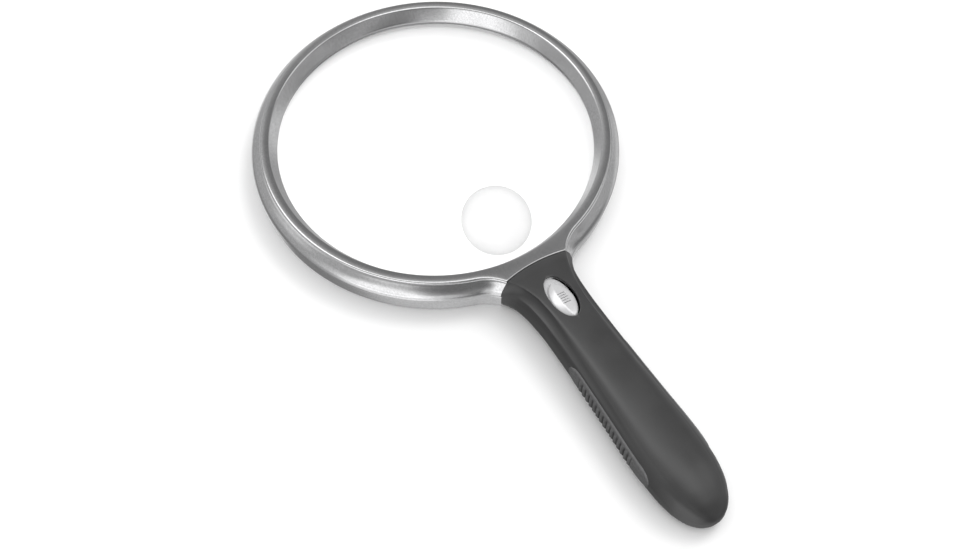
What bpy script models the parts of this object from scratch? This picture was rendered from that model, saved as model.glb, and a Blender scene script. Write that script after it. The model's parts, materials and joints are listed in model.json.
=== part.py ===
"""Low vision magnifier: a large round lens in a two-part frame, on a handle with a light and two cells.

It lies flat. X runs across it, +Y along the handle towards the lens, +Z up, and the table is at z = 0.
Distances along the handle are given as `reach`, counted from the lens centre towards the butt.
All driving sizes are in millimetres.
"""

import math

import bmesh
import bpy
import numpy as np

MM = 0.001

# The frame around the lens.
RING_RADIUS = 80.7
RING_INNER = 70.0
RING_HEIGHT = 17.0
RING_PARTING = 8.5
SEAT_RADIUS = 71.6
FILLET_RADIUS = 22.0
RING_STATIONS = 45
FILLET_STATIONS = 4
END_STATIONS = 4

# The lens and its high-power spot.
LENS_RADIUS = 71.2
LENS_EDGE = (6.9, 9.6)
LENS_CROWN = 5.0
SPOT_REACH = 50.0
SPOT_RADIUS = 14.6
GASKET = (69.4, 71.2, 10.05, 10.6)

# The joint between neck and handle is part of a circle that bulges towards the lens.
NECK_REACH = 78.3
NECK_BULGE = 0.0083
JOINT_GAP = 0.3
PRONG_REACH = 93.0

# The handle.
BUTT_REACH = 204.5
BUTT_HEIGHT = 8.8
HANDLE_WALL = 2.0
HANDLE_MIDDLE = 9.0
HANDLE_PARTING = 3.05
BULKHEAD_FOOT = 4.0
CENTRE_Y = (BUTT_REACH - RING_RADIUS) / 2

# One row for each place along the handle: reach, half width, half width and height of the top's crease,
# height of the top's middle, half width and height of the side band's upper edge, hollow of the flank,
# height of the underside.
HANDLE_LINES = (
    (78.6, 17.6, 14.1, 16.95, 17.1, 17.0, 11.0, -0.4, 0.0),
    (83.0, 15.6, 12.3, 18.5, 18.85, 15.0, 12.8, 0.4, 0.0),
    (88.0, 14.0, 10.6, 19.25, 19.7, 13.3, 14.0, 0.9, 0.0),
    (96.0, 12.7, 8.7, 19.75, 20.25, 12.0, 15.2, 1.0, 0.0),
    (106.0, 12.1, 8.0, 19.8, 20.4, 11.5, 15.7, 0.8, 0.0),
    (125.0, 12.4, 8.3, 19.45, 20.45, 11.7, 15.6, 0.1, 0.0),
    (150.0, 13.4, 9.2, 18.9, 20.4, 12.5, 15.0, -0.4, 0.0),
    (172.0, 14.5, 9.9, 18.2, 20.2, 13.3, 14.3, -0.7, 0.0),
    (183.0, 14.1, 9.4, 17.4, 19.5, 12.8, 13.6, -0.7, 0.0),
    (191.0, 12.3, 8.0, 16.0, 18.0, 11.1, 12.8, -0.6, 0.1),
    (197.5, 9.2, 5.9, 14.2, 15.8, 8.2, 11.8, -0.4, 0.9),
    (201.5, 5.9, 3.8, 12.5, 13.4, 5.3, 11.0, -0.2, 2.8),
    (203.7, 3.0, 1.9, 10.9, 11.3, 2.7, 10.1, -0.1, 5.2),
)

# The slide switch.
OVAL_REACH = 98.2
OVAL_HALF = (5.3, 10.4)
OVAL_CEILING = 18.5
DOME_REACH = 100.2
DOME_HALF = (4.7, 8.2)
PLATE_Z = (17.2, 18.2)
LEVER_REACH = 100.5
PLATE_REACH = (86.6, 112.6)
SWITCH_TRAVEL = 3.0

# The circuit board.
BOARD_REACH = (93.3, 132.0)
BOARD_HALF = 5.0
BOARD_Z = (10.0, 11.2)
BOARD_SCREWS = (117.0, 129.0)

# The cells and the battery door.
CELL_RADIUS = 5.25
CELL_LENGTH = 44.5
CELL_OFFSET = 5.35
CELL_Z = 9.9
CELL_FRONT = 140.3
BRIDGE_REACH = 188.4
DOOR_REACH = (136.0, 190.0)
DOOR_HALF = 9.4
DOOR_TONGUE = (0.9, 1.7)
DOOR_TOP = 2.75

# The screws: place across and along, and the heights of head and tip.
NECK_SCREW = (6.5, 90.0)
SHELL_SCREW = (8.0, 122.0)
SCREW_RADIUS = 1.05
HEAD_RADIUS = 2.1

# The grips.
GRIP_REACH = (123.0, 179.5)
GRIP_BOTTOM = 4.6
GRIP_DEPTH = 0.8
GRIP_PROUD = 0.35
RIB_REACH = (131.5, 167.0)
RIB_COUNT = 15
RIB_HEIGHT = 0.45

MATERIALS = {
    "satin_silver": ((0.42, 0.42, 0.43), 0.32, 0.9),
    "clear_plastic": ((0.95, 0.96, 0.97), 0.03, 0.0),
    "soft_touch_charcoal": ((0.045, 0.045, 0.047), 0.55, 0.0),
    "grip_rubber": ((0.075, 0.075, 0.078), 0.75, 0.0),
    "black_rubber": ((0.02, 0.02, 0.02), 0.8, 0.0),
    "bright_silver": ((0.7, 0.7, 0.71), 0.22, 0.8),
    "nickel": ((0.62, 0.6, 0.55), 0.3, 1.0),
    "steel_screw": ((0.35, 0.35, 0.36), 0.35, 1.0),
    "green_board": ((0.03, 0.16, 0.07), 0.5, 0.0),
    "black_plastic": ((0.025, 0.025, 0.025), 0.5, 0.0),
    "red_wire": ((0.5, 0.03, 0.02), 0.5, 0.0),
    "cell_jacket": ((0.1, 0.22, 0.14), 0.3, 0.0),
    "lamp": ((0.9, 0.92, 0.85), 0.15, 0.0),
}


def material(name):
    """The named material, made on first use."""
    found = bpy.data.materials.get(name)
    if found:
        return found
    colour, roughness, metallic = MATERIALS[name]
    made = bpy.data.materials.new(name)
    made.use_nodes = True
    shader = made.node_tree.nodes["Principled BSDF"]
    shader.inputs["Base Color"].default_value = (*colour, 1)
    shader.inputs["Roughness"].default_value = roughness
    shader.inputs["Metallic"].default_value = metallic
    return made


def along(reach):
    """The y of a place on the handle, counted from the lens centre."""
    return CENTRE_Y - reach


def solid(name, points, faces, finish=None, origin=(0, 0, 0)):
    """A closed mesh object from points in millimetres, with its origin at the given place."""
    mesh = bpy.data.meshes.new(name)
    places = (np.asarray(points, float) - np.asarray(origin, float)) * MM
    mesh.from_pydata(places.tolist(), [], [list(map(int, face)) for face in faces])
    shape = bmesh.new()
    shape.from_mesh(mesh)
    bmesh.ops.remove_doubles(shape, verts=shape.verts, dist=1e-6)
    bmesh.ops.recalc_face_normals(shape, faces=shape.faces)
    bmesh.ops.triangulate(shape, faces=shape.faces)
    shape.to_mesh(mesh)
    shape.free()
    made = bpy.data.objects.new(name, mesh)
    made.location = [value * MM for value in origin]
    bpy.context.scene.collection.objects.link(made)
    if finish:
        mesh.materials.append(material(finish))
        mesh.shade_smooth()
        mesh.set_sharp_from_angle(angle=math.radians(35))
    return made


def cutter(made):
    """Marks an object as a helper that only shapes others."""
    made.hide_render = True
    made.display_type = "WIRE"
    return made


def combine(target, other, operation):
    """A Boolean modifier on the target. The other object becomes a helper."""
    step = target.modifiers.new(f"{operation} {other.name}", "BOOLEAN")
    step.operation = operation
    step.solver = "EXACT"
    step.object = cutter(other)
    return target


def loft(rings, caps=True):
    """Points and faces of a skin over closed rings of equal length. Without caps it closes on itself."""
    count = len(rings[0])
    points = np.concatenate([np.asarray(ring, float) for ring in rings])
    spans = len(rings) - 1 if caps else len(rings)
    faces = []
    for i in range(spans):
        here, there = i * count, ((i + 1) % len(rings)) * count
        for j in range(count):
            k = (j + 1) % count
            faces.append((here + j, here + k, there + k, there + j))
    if caps:
        faces.append(tuple(range(count)))
        faces.append(tuple(range(len(points) - 1, len(points) - 1 - count, -1)))
    return points, faces


def block(name, x, reach, z, finish=None, origin=(0, 0, 0)):
    """A box between two values of x, of reach and of z."""
    low, high = along(max(reach)), along(min(reach))
    corners = [(x[0], low), (x[1], low), (x[1], high), (x[0], high)]
    rings = [[(a, b, level) for a, b in corners] for level in z]
    return solid(name, *loft(rings), finish, origin)


def turned(name, profile, place, axis, sides, finish=None, origin=(0, 0, 0)):
    """A closed turned solid. The profile is (radius, distance along the axis), from one end to the other."""
    axis = np.asarray(axis, float) / np.linalg.norm(axis)
    helper = np.array([1.0, 0, 0]) if abs(axis[0]) < 0.9 else np.array([0, 1.0, 0])
    across = np.cross(axis, helper)
    across /= np.linalg.norm(across)
    upright = np.cross(axis, across)
    rings = []
    for radius, height in profile:
        turn = [2 * math.pi * i / sides for i in range(sides)]
        centre = np.asarray(place, float) + axis * height
        rings.append([centre + radius * (math.cos(t) * across + math.sin(t) * upright) for t in turn])
    return solid(name, *loft(rings), finish, origin)


def tube(name, route, radius, sides, finish):
    """A round wire along a smooth route."""
    route = np.asarray(route, float)
    rings = []
    upright = np.array([0.0, 0.0, 1.0])
    for i, place in enumerate(route):
        ahead = route[min(i + 1, len(route) - 1)] - route[max(i - 1, 0)]
        ahead /= np.linalg.norm(ahead)
        across = np.cross(ahead, upright)
        across /= np.linalg.norm(across)
        upright = np.cross(across, ahead)
        turn = [2 * math.pi * j / sides for j in range(sides)]
        rings.append([place + radius * (math.cos(t) * across + math.sin(t) * upright) for t in turn])
    return solid(name, *loft(rings), finish)


def smooth_values(stations, values, places):
    """Values read from a curve through the stations that doesn't overshoot between them."""
    x, y = np.asarray(stations, float), np.asarray(values, float)
    step = np.diff(x)
    slope = np.diff(y) / step
    ends = [slope[0]]
    for i in range(1, len(x) - 1):
        same_way = slope[i - 1] * slope[i] > 0
        ends.append(2 * slope[i - 1] * slope[i] / (slope[i - 1] + slope[i]) if same_way else 0.0)
    ends = np.array([*ends, slope[-1]])
    places = np.clip(np.asarray(places, float), x[0], x[-1])
    i = np.clip(np.searchsorted(x, places) - 1, 0, len(step) - 1)
    t = (places - x[i]) / step[i]
    start = y[i] * (1 + 2 * t) * (1 - t) ** 2 + step[i] * ends[i] * t * (1 - t) ** 2
    return start + y[i + 1] * t * t * (3 - 2 * t) + step[i] * ends[i + 1] * t * t * (t - 1)


# ------------------------------------------------------------------------------------------- frame and neck


def neck_end(x, reach=NECK_REACH):
    """Reach of the neck's end face at x."""
    return reach + NECK_BULGE * x * x


def frame_outline(radius, neck_half):
    """Outer outline of the frame at one level: ring, concave fillets and the neck's end face."""
    corner = np.array([neck_half, -neck_end(neck_half)])
    reach = np.linalg.norm(corner)
    away = ((radius + FILLET_RADIUS) ** 2 - FILLET_RADIUS**2 + reach**2) / (2 * reach)
    aside = math.sqrt((radius + FILLET_RADIUS) ** 2 - away**2)
    unit = corner / reach
    centre = unit * away + np.array([-unit[1], unit[0]]) * aside
    tangent = math.atan2(centre[1], centre[0])
    outline = []
    for turn in np.linspace(tangent, math.pi - tangent, RING_STATIONS):
        outline.append((radius * math.cos(turn), radius * math.sin(turn)))
    first = tangent + math.pi
    last = math.atan2(corner[1] - centre[1], corner[0] - centre[0]) % (2 * math.pi)
    fillet = []
    for turn in np.linspace(first, last, FILLET_STATIONS + 1)[1:]:
        fillet.append(centre + FILLET_RADIUS * np.array([math.cos(turn), math.sin(turn)]))
    outline += [(-x, y) for x, y in fillet]
    for x in np.linspace(-neck_half, neck_half, END_STATIONS + 1)[1:-1]:
        outline.append((x, -neck_end(x)))
    outline += [tuple(point) for point in reversed(fillet)]
    return np.array(outline)


def rim(name, outer, inner, guide):
    """One half of the frame: outer levels (radius, neck, z), then round inner ones (radius, z)."""
    reference = frame_outline(*guide)
    turns = np.arctan2(reference[:, 1], reference[:, 0])
    loops = []
    for radius, neck_half, z in outer:
        flat = frame_outline(radius, neck_half)
        loops.append(np.column_stack([flat[:, 0], flat[:, 1] + CENTRE_Y, np.full(len(flat), z)]))
    for radius, z in inner:
        flat = radius * np.column_stack([np.cos(turns), np.sin(turns)])
        loops.append(np.column_stack([flat[:, 0], flat[:, 1] + CENTRE_Y, np.full(len(flat), z)]))
    return solid(name, *loft(loops, caps=False), "satin_silver")


def add_prongs(made, z, hole_radius):
    """The two prongs that run into the handle, each with a hole for its neck screw."""
    for side in (-1, 1):
        x = sorted((side * 4.2, side * 8.8))
        prong = block(f"{made.name}_prong_{side}", x, (NECK_REACH - 1.5, PRONG_REACH), z)
        combine(made, prong, "UNION")
    for side in (-1, 1):
        place = (side * NECK_SCREW[0], along(NECK_SCREW[1]), z[0] - 1)
        profile = [(hole_radius, 0), (hole_radius, z[1] - z[0] + 2)]
        hole = turned(f"{made.name}_hole_{side}", profile, place, (0, 0, 1), 12)
        combine(made, hole, "DIFFERENCE")


def make_front_rim():
    top = RING_HEIGHT
    outer = [
        (RING_RADIUS, 17.7, RING_PARTING + 0.4),
        (RING_RADIUS, 17.75, 10.3),
        (80.2, 17.4, 11.8),
        (79.1, 16.6, 13.5),
        (77.6, 15.5, 15.2),
        (76.5, 14.7, 16.4),
        (75.7, 14.2, top),
    ]
    inner = [
        (72.4, top - 0.5),
        (72.1, top - 0.9),
        (RING_INNER, 11.4),
        (RING_INNER, 10.9),
        (SEAT_RADIUS, 10.9),
        (SEAT_RADIUS, RING_PARTING + 0.15),
        (74.2, RING_PARTING + 0.15),
        (74.2, 10.0),
        (75.8, 10.0),
        (75.8, RING_PARTING + 0.15),
    ]
    made = rim("front_rim", [(80.3, 17.4, RING_PARTING + 0.15), *outer], inner, outer[-1][:2])
    add_prongs(made, (RING_PARTING + 0.15, 11.6), 1.4)


def make_rear_rim():
    outer = [
        (80.2, 17.4, RING_PARTING - 0.15),
        (79.9, 17.35, 5.0),
        (79.6, 17.3, 2.2),
        (79.0, 16.9, 0.7),
        (77.8, 16.0, 0.0),
    ]
    inner = [
        (73.2, 0.0),
        (72.8, 0.4),
        (RING_INNER, 6.1),
        (RING_INNER, 6.6),
        (SEAT_RADIUS, 6.6),
        (SEAT_RADIUS, RING_PARTING - 0.15),
        (74.5, RING_PARTING - 0.15),
        (74.5, 9.6),
        (75.5, 9.6),
        (75.5, RING_PARTING - 0.15),
    ]
    made = rim("rear_rim", outer, inner, (75.7, 14.2))
    add_prongs(made, (5.2, RING_PARTING - 0.15), 1.4)
    pocket = block("lamp_pocket", (-8.5, 8.5), (69.0, 77.2), (-1.0, 5.6))
    channel = block("wire_channel", (-2.2, 2.2), (76.5, 80.0), (3.9, 5.6))
    combine(made, pocket, "DIFFERENCE")
    combine(made, channel, "DIFFERENCE")


def make_lens():
    low, high = LENS_EDGE
    rings = 5
    share = [math.sin(math.pi / 2 * i / rings) for i in range(1, rings + 1)]
    top = [(LENS_RADIUS * s, high + LENS_CROWN * (1 - s * s)) for s in share]
    bottom = [(LENS_RADIUS * s, low - LENS_CROWN * (1 - s * s)) for s in reversed(share)]
    profile = [(0.0, high + LENS_CROWN), *top, *bottom, (0.0, low - LENS_CROWN)]
    made = turned("lens", profile, (0, CENTRE_Y, 0), (0, 0, -1), 48, "clear_plastic")
    for vertex in made.data.vertices:
        vertex.co.z = -vertex.co.z
    made.data.flip_normals()
    crown, wall = 15.6, 13.0
    spot = [
        (0.0, crown),
        (SPOT_RADIUS * 0.35, crown - 0.3),
        (SPOT_RADIUS * 0.7, crown - 1.2),
        (SPOT_RADIUS * 0.95, wall),
        (SPOT_RADIUS, wall - 0.8),
    ]
    middle = (low + high) / 2
    mirrored = [(radius, 2 * middle - z) for radius, z in reversed(spot)]
    button = turned("spot", [*spot, *mirrored], (0, along(SPOT_REACH), 0), (0, 0, 1), 24)
    combine(made, button, "UNION")


def make_gasket():
    inner, outer, low, high = GASKET
    sides = 48
    rings = []
    for i in range(sides):
        turn = 2 * math.pi * i / sides
        x, y = math.cos(turn), math.sin(turn)
        section = ((inner, low), (outer, low), (outer, high), (inner, high))
        rings.append([(r * x, CENTRE_Y + r * y, z) for r, z in section])
    solid("lens_gasket", *loft(rings, caps=False), "black_rubber")


# --------------------------------------------------------------------------------------------------- handle


def handle_line(column, reach):
    """One of the handle's lines, read at any reach."""
    table = np.array(HANDLE_LINES)
    return float(smooth_values(table[:, 0], table[:, column], reach))


def half_section(reach):
    """The right half of the handle's section, from the middle of the top to the middle of the underside."""
    lines = [handle_line(column, reach) for column in range(1, 9)]
    half, crease, crease_z, top, band, band_z, hollow, floor = lines
    drop = top - crease_z
    run = math.hypot(band - crease, crease_z - band_z)
    flank_x = (crease + band) / 2 - hollow * (crease_z - band_z) / run
    flank_z = (crease_z + band_z) / 2 - hollow * (band - crease) / run
    inset = min(1.0, half / 12.0)
    rise = (HANDLE_MIDDLE - floor) / HANDLE_MIDDLE
    below = [(0.1, 5.5), (0.75, 2.9), (1.9, 0.85), (3.5, 0.0)]
    side = [(half - away * inset, floor + z * rise) for away, z in below]
    return np.array(
        [
            (0.0, top),
            (0.5 * crease, top - 0.22 * drop),
            (0.85 * crease, top - 0.68 * drop),
            (crease, crease_z),
            (flank_x, flank_z),
            (band, band_z),
            (half, HANDLE_MIDDLE + 0.5),
            *side,
            (0.0, floor),
        ]
    )


def narrowed(section, wall):
    """A half section drawn in towards its middle, so that it leaves the wall's thickness all round."""
    top, floor, half = section[0, 1], section[-1, 1], section[:, 0].max()
    above, below = top - HANDLE_MIDDLE, HANDLE_MIDDLE - floor
    height = section[:, 1] - HANDLE_MIDDLE
    share = np.where(height > 0, (above - wall) / above, (below - wall) / below)
    return np.column_stack([section[:, 0] * (half - wall) / half, HANDLE_MIDDLE + height * share])


def section_ring(half, reach):
    """A closed ring of the whole section. Near the neck it bends to follow the neck's end face."""
    left = half[1:-1][::-1] * (-1, 1)
    ring = np.vstack([half, left])
    fade = np.clip((92.0 - reach) / (92.0 - 78.6), 0.0, 1.0)
    bend = NECK_BULGE * ring[:, 0] ** 2 * fade
    return np.column_stack([ring[:, 0], CENTRE_Y - reach - bend, ring[:, 1]])


def handle_body(name):
    """The whole handle's outer shape, solid."""
    start = NECK_REACH + JOINT_GAP
    stations = [start, 81.5, 85, 89, 94, 100, 107, 116, 126, 138, 150]
    stations += [162, 172, 179, 185, 190, 194, 197.5, 200.5, 202.6, 203.9]
    rings = [section_ring(half_section(reach), reach) for reach in stations]
    tip = np.array([0.0, along(BUTT_REACH), BUTT_HEIGHT])
    rings.append(tip + (rings[-1] - rings[-1].mean(0)) * 0.08)
    return solid(name, *loft(rings), "soft_touch_charcoal" if name == "handle_upper" else None)


def handle_hollow(name):
    """The space inside the handle, open at the neck."""
    stations = [76.0, 78.6, 84, 89, 95, 102, 112, 126, 140, 155, 170, 180, 187, 192, 196, 198.5]
    rings = []
    for reach in stations:
        lead = 2.0 * np.clip((reach - 180) / 15, 0, 1)
        outside = min(max(reach, NECK_REACH + JOINT_GAP) + lead, 201.0)
        rings.append(section_ring(narrowed(half_section(outside), HANDLE_WALL), reach))
    return solid(name, *loft(rings))


def lower_slab(name, top, x, reach):
    """The part of the handle's outer shape below a level and between limits."""
    made = handle_body(name)
    return combine(made, block(f"{name}_limits", x, reach, (-1.0, top)), "INTERSECT")


def oval_ring(half, centre_reach, level, sides):
    """The points of a level oval around a place on the handle's middle line."""
    turns = [2 * math.pi * i / sides for i in range(sides)]
    return [(half[0] * math.cos(t), along(centre_reach) + half[1] * math.sin(t), level) for t in turns]


def boss(target, x, reach, z, radius, hole):
    """A screw boss inside a shell, with a blind hole from below."""
    name = f"{target.name}_boss_{reach:.0f}_{'right' if x > 0 else 'left'}"
    place = (x, along(reach), z[0])
    combine(target, turned(name, [(radius, 0), (radius, z[1] - z[0])], place, (0, 0, 1), 14), "UNION")
    place = (x, along(reach), z[0] - 1)
    profile = [(hole, 0), (hole, z[1] - z[0] - 1)]
    combine(target, turned(name + "_hole", profile, place, (0, 0, 1), 12), "DIFFERENCE")


def bulkhead(name, reach):
    """A wall across the inside of the handle. Its edge runs into the middle of the shell's wall."""
    rings = []
    for place in reach:
        inside = narrowed(half_section(place), HANDLE_WALL / 2)
        inside[:, 1] = np.maximum(inside[:, 1], BULKHEAD_FOOT)
        rings.append(section_ring(inside, place))
    return solid(name, *loft(rings))


def make_handle_upper():
    made = handle_body("handle_upper")
    combine(made, handle_hollow("handle_hollow"), "DIFFERENCE")
    combine(made, block("below_parting", (-30, 30), (70, 215), (-5, HANDLE_PARTING + 0.15)), "DIFFERENCE")
    wide = 11.0
    for side in (-1, 1):
        x = sorted((side * NECK_SCREW[0], side * (wide + 0.2)))
        combine(made, block(f"neck_gusset_{side}", x, (89.0, 91.0), (12.0, 14.6)), "UNION")
        x = sorted((side * SHELL_SCREW[0], side * wide))
        combine(made, block(f"shell_gusset_{side}", x, (121.0, 123.0), (4.5, 14.0)), "UNION")
        boss(made, side * NECK_SCREW[0], NECK_SCREW[1], (11.9, 16.7), 2.4, 1.35)
        boss(made, side * SHELL_SCREW[0], SHELL_SCREW[1], (HANDLE_PARTING + 0.2, 15.5), 2.4, 1.35)
    for reach in BOARD_SCREWS:
        boss(made, 0.0, reach, (BOARD_Z[1] + 0.3, 19.3), 2.2, 1.35)
    for name, reach in (("front_bulkhead", (136.6, 137.8)), ("rear_bulkhead", (189.3, 190.6))):
        combine(made, bulkhead(name, reach), "UNION")
    for side in (-1, 1):
        x = sorted((side * 2.4, side * 4.9))
        combine(made, block(f"strip_notch_{side}", x, (135.5, 139.0), (11.2, 12.5)), "DIFFERENCE")
    opening = [oval_ring(OVAL_HALF, OVAL_REACH, level, 32) for level in (15.0, 23.0)]
    combine(made, solid("oval_opening", *loft(opening)), "DIFFERENCE")
    room = (PLATE_REACH[0] - SWITCH_TRAVEL - 0.8, PLATE_REACH[1] + 0.7)
    combine(made, block("plate_pocket", (-7.0, 7.0), room, (15.2, OVAL_CEILING)), "DIFFERENCE")
    for side in (-1, 1):
        combine(made, grip(f"grip_recess_{side}", side, JOINT_GAP), "DIFFERENCE")


def make_handle_lower():
    made = lower_slab("handle_lower", HANDLE_PARTING - 0.15, (-20, 20), (70.0, DOOR_REACH[1]))
    made.data.materials.append(material("soft_touch_charcoal"))
    start = DOOR_REACH[0] - JOINT_GAP
    slot = DOOR_HALF + JOINT_GAP
    combine(made, block("door_slot", (-slot, slot), (start, 200), (-2, 6)), "DIFFERENCE")
    tongue = (DOOR_TONGUE[0] - 0.3, DOOR_TONGUE[1] + 0.3)
    half = DOOR_HALF + 1.0
    combine(made, block("tongue_groove", (-half, half), (start - 1.2, 200), tongue), "DIFFERENCE")
    for side in (-1, 1):
        x, reach = side * NECK_SCREW[0], NECK_SCREW[1]
        post = turned(f"neck_post_{side}", [(2.4, 0), (2.4, 2.9)], (x, along(reach), 2.0), (0, 0, 1), 14)
        combine(made, post, "UNION")
    for side in (-1, 1):
        for x, reach in (NECK_SCREW, SHELL_SCREW):
            place = (side * x, along(reach), -1.0)
            head, shank = HEAD_RADIUS + JOINT_GAP, SCREW_RADIUS + JOINT_GAP
            profile = [(head, 0), (head, 2.4), (shank, 2.4), (shank, 8)]
            seat = turned(f"screw_seat_{reach:.0f}_{side}", profile, place, (0, 0, 1), 14)
            combine(made, seat, "DIFFERENCE")


def make_battery_door():
    origin = (0.0, along(DOOR_REACH[0]), DOOR_TOP / 2)
    made = lower_slab("battery_door", DOOR_TOP, (-20, 20), (DOOR_REACH[0], 215))
    made.data.materials.append(material("soft_touch_charcoal"))
    for side in (-1, 1):
        x = sorted((side * DOOR_HALF, side * 20))
        reach = (DOOR_REACH[0] - 1, DOOR_REACH[1] + JOINT_GAP)
        combine(made, block(f"door_flank_{side}", x, reach, (-2, 6)), "DIFFERENCE")
    half = DOOR_HALF + 0.7
    reach = (DOOR_REACH[0] - 0.9, DOOR_REACH[1] - 1.5)
    combine(made, block("door_tongue", (-half, half), reach, DOOR_TONGUE), "UNION")
    for i in range(4):
        reach = 142.0 + 2.2 * i
        groove = block(f"thumb_groove_{i}", (-5.5, 5.5), (reach, reach + 1.0), (-1, 0.5))
        combine(made, groove, "DIFFERENCE")
    shift = [value * MM for value in origin]
    for vertex in made.data.vertices:
        vertex.co = [vertex.co[i] - shift[i] for i in range(3)]
    made.location = shift


def grip_outline(reach):
    """Lower and upper edge of the grip at a reach, with round ends."""
    top = handle_line(6, reach) - 0.9
    middle, half = (GRIP_BOTTOM + top) / 2, (top - GRIP_BOTTOM) / 2
    round_end = 6.0
    near_end = min(reach - GRIP_REACH[0], GRIP_REACH[1] - reach, round_end)
    share = math.sqrt(max(0.0, 1 - (1 - near_end / round_end) ** 2))
    return middle - half * share, middle + half * share


def side_x(reach, z):
    """Half width of the handle at a height on its side band."""
    band = half_section(reach)[5:10][::-1]
    return float(np.interp(z, band[:, 1], band[:, 0]))


def grip(name, side, grow, finish=None):
    """A grip inlay, or with grow the recess that holds it."""
    first, last = GRIP_REACH[0] - grow, GRIP_REACH[1] + grow
    pitch = (RIB_REACH[1] - RIB_REACH[0]) / (RIB_COUNT - 1)
    if grow:
        near_end = (0.02, 0.5, 1.5, 3.0, 6.0)
        between = np.linspace(first + 12.0, last - 12.0, 5)
        stations = [(first + away, 0) for away in near_end]
        stations += [(reach, 0) for reach in between]
        stations += [(last - away, 0) for away in near_end[::-1]]
    else:
        stations = [(first + away, 0) for away in (0.02, 0.5, 1.5, 3.0, 6.0)]
        for i in range(RIB_COUNT):
            start = RIB_REACH[0] + pitch * (i - 0.5)
            places = (0.1, 0.25, 0.65, 0.8)
            stations += [(start + pitch * place, raised) for place, raised in zip(places, (0, 1, 1, 0))]
        stations += [(last - away, 0) for away in (6.0, 3.0, 1.5, 0.5, 0.02)]
    deep = GRIP_DEPTH + grow
    proud = 2.0 if grow else GRIP_PROUD
    rings = []
    for reach, raised in stations:
        inside = min(max(reach, GRIP_REACH[0] + 0.02), GRIP_REACH[1] - 0.02)
        low, high = grip_outline(inside)
        low, high = low - grow, high + grow
        rib = RIB_HEIGHT * raised
        ease = 0.3 * min(1.0, (high - low) / 4)
        heights = (low, low + ease, (low + high) / 2, high - ease, high)
        widths = [side_x(reach, z) for z in heights]
        outer = [
            (widths[0] + proud - ease * (not grow), heights[0]),
            (widths[1] + proud + rib * 0.5, heights[1]),
            (widths[2] + proud + rib, heights[2]),
            (widths[3] + proud + rib * 0.5, heights[3]),
            (widths[4] + proud - ease * (not grow), heights[4]),
        ]
        inner = [(widths[i] - deep, heights[i]) for i in (4, 2, 0)]
        rings.append([(side * x, along(reach), z) for x, z in [*outer, *inner]])
    return solid(name, *loft(rings), finish)


# ------------------------------------------------------------------------------------ switch, board and lamp


def make_switch():
    origin = (0.0, along(DOME_REACH), PLATE_Z[0])
    slider = block("switch_slider", (-6.4, 6.4), PLATE_REACH, PLATE_Z, "bright_silver", origin)
    levels = [(1.0, PLATE_Z[1] - 0.3), (1.0, 18.9), (0.93, 19.6), (0.78, 20.2), (0.5, 20.6), (0.2, 20.75)]
    rings = []
    for share, z in levels:
        half = (DOME_HALF[0] * share, DOME_HALF[1] * share)
        rings.append(oval_ring(half, DOME_REACH, z, 28))
    combine(slider, solid("thumb_dome", *loft(rings)), "UNION")
    for i in range(5):
        reach = DOME_REACH - 3.2 + 1.6 * i
        rib = block(f"thumb_rib_{i}", (-1.8, 1.8), (reach - 0.3, reach + 0.3), (19.8, 20.9))
        combine(slider, rib, "UNION")
    for gap in ((LEVER_REACH - 3.4, LEVER_REACH - 1.4), (LEVER_REACH + 1.4, LEVER_REACH + 3.4)):
        tine = block(f"fork_{gap[0]:.1f}", (-1.6, 1.6), gap, (14.9, PLATE_Z[0] + 0.3))
        combine(slider, tine, "UNION")
    origin = (0.0, along(LEVER_REACH), 13.0)
    reach = (LEVER_REACH - 2.2, LEVER_REACH + 2.2)
    lever = block("switch_lever", (-1.6, 1.6), reach, (12.2, 13.4), "black_plastic", origin)
    knob = block("lever_knob", (-1.0, 1.0), (LEVER_REACH - 1.0, LEVER_REACH + 1.0), (13.0, 16.6))
    combine(lever, knob, "UNION")
    housing = block("switch_housing", (-3.5, 3.5), (93.8, 104.9), (BOARD_Z[1] + 0.3, 14.6), "nickel")
    combine(housing, block("housing_hollow", (-1.9, 1.9), (95.0, 103.0), (11.9, 13.8)), "DIFFERENCE")
    combine(housing, block("housing_slot", (-1.3, 1.3), (96.1, 101.9), (13.0, 16.0)), "DIFFERENCE")


def make_board():
    board = block("circuit_board", (-BOARD_HALF, BOARD_HALF), BOARD_REACH, BOARD_Z, "green_board")
    for i, reach in enumerate(BOARD_SCREWS):
        place = (0, along(reach), BOARD_Z[0] - 1)
        combine(board, turned(f"board_hole_{i}", [(1.4, 0), (1.4, 4)], place, (0, 0, 1), 12), "DIFFERENCE")
        name = ("board_screw_front", "board_screw_rear")[i]
        place = (0, along(reach), BOARD_Z[0] - 1.6)
        profile = [(1.7, 0), (2.1, 0.4), (2.1, 1.3), (SCREW_RADIUS, 1.3), (SCREW_RADIUS, 7.0), (0.5, 7.8)]
        turned(name, profile, place, (0, 0, 1), 12, "steel_screw")
    end = [(0.55, 3.0), (1.1, 2.6), (1.1, 1.6), (0.9, 1.4)]
    body = [(radius, -away) for radius, away in end] + end[::-1]
    middle = 109.0
    place = (2.6, along(middle), BOARD_Z[1] + 1.6)
    resistor = turned("resistor", body, place, (0, 1, 0), 12, "black_plastic")
    for side in (-1, 1):
        foot = middle + side * 3.6
        lead = block(f"lead_{side}", (2.35, 2.85), (foot - 0.25, foot + 0.25), (BOARD_Z[1] + 0.3, 13.1))
        combine(resistor, lead, "UNION")
        reach = sorted((middle + side * 2.5, middle + side * 3.8))
        combine(resistor, block(f"bar_{side}", (2.35, 2.85), reach, (12.5, 13.0)), "UNION")


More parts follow.
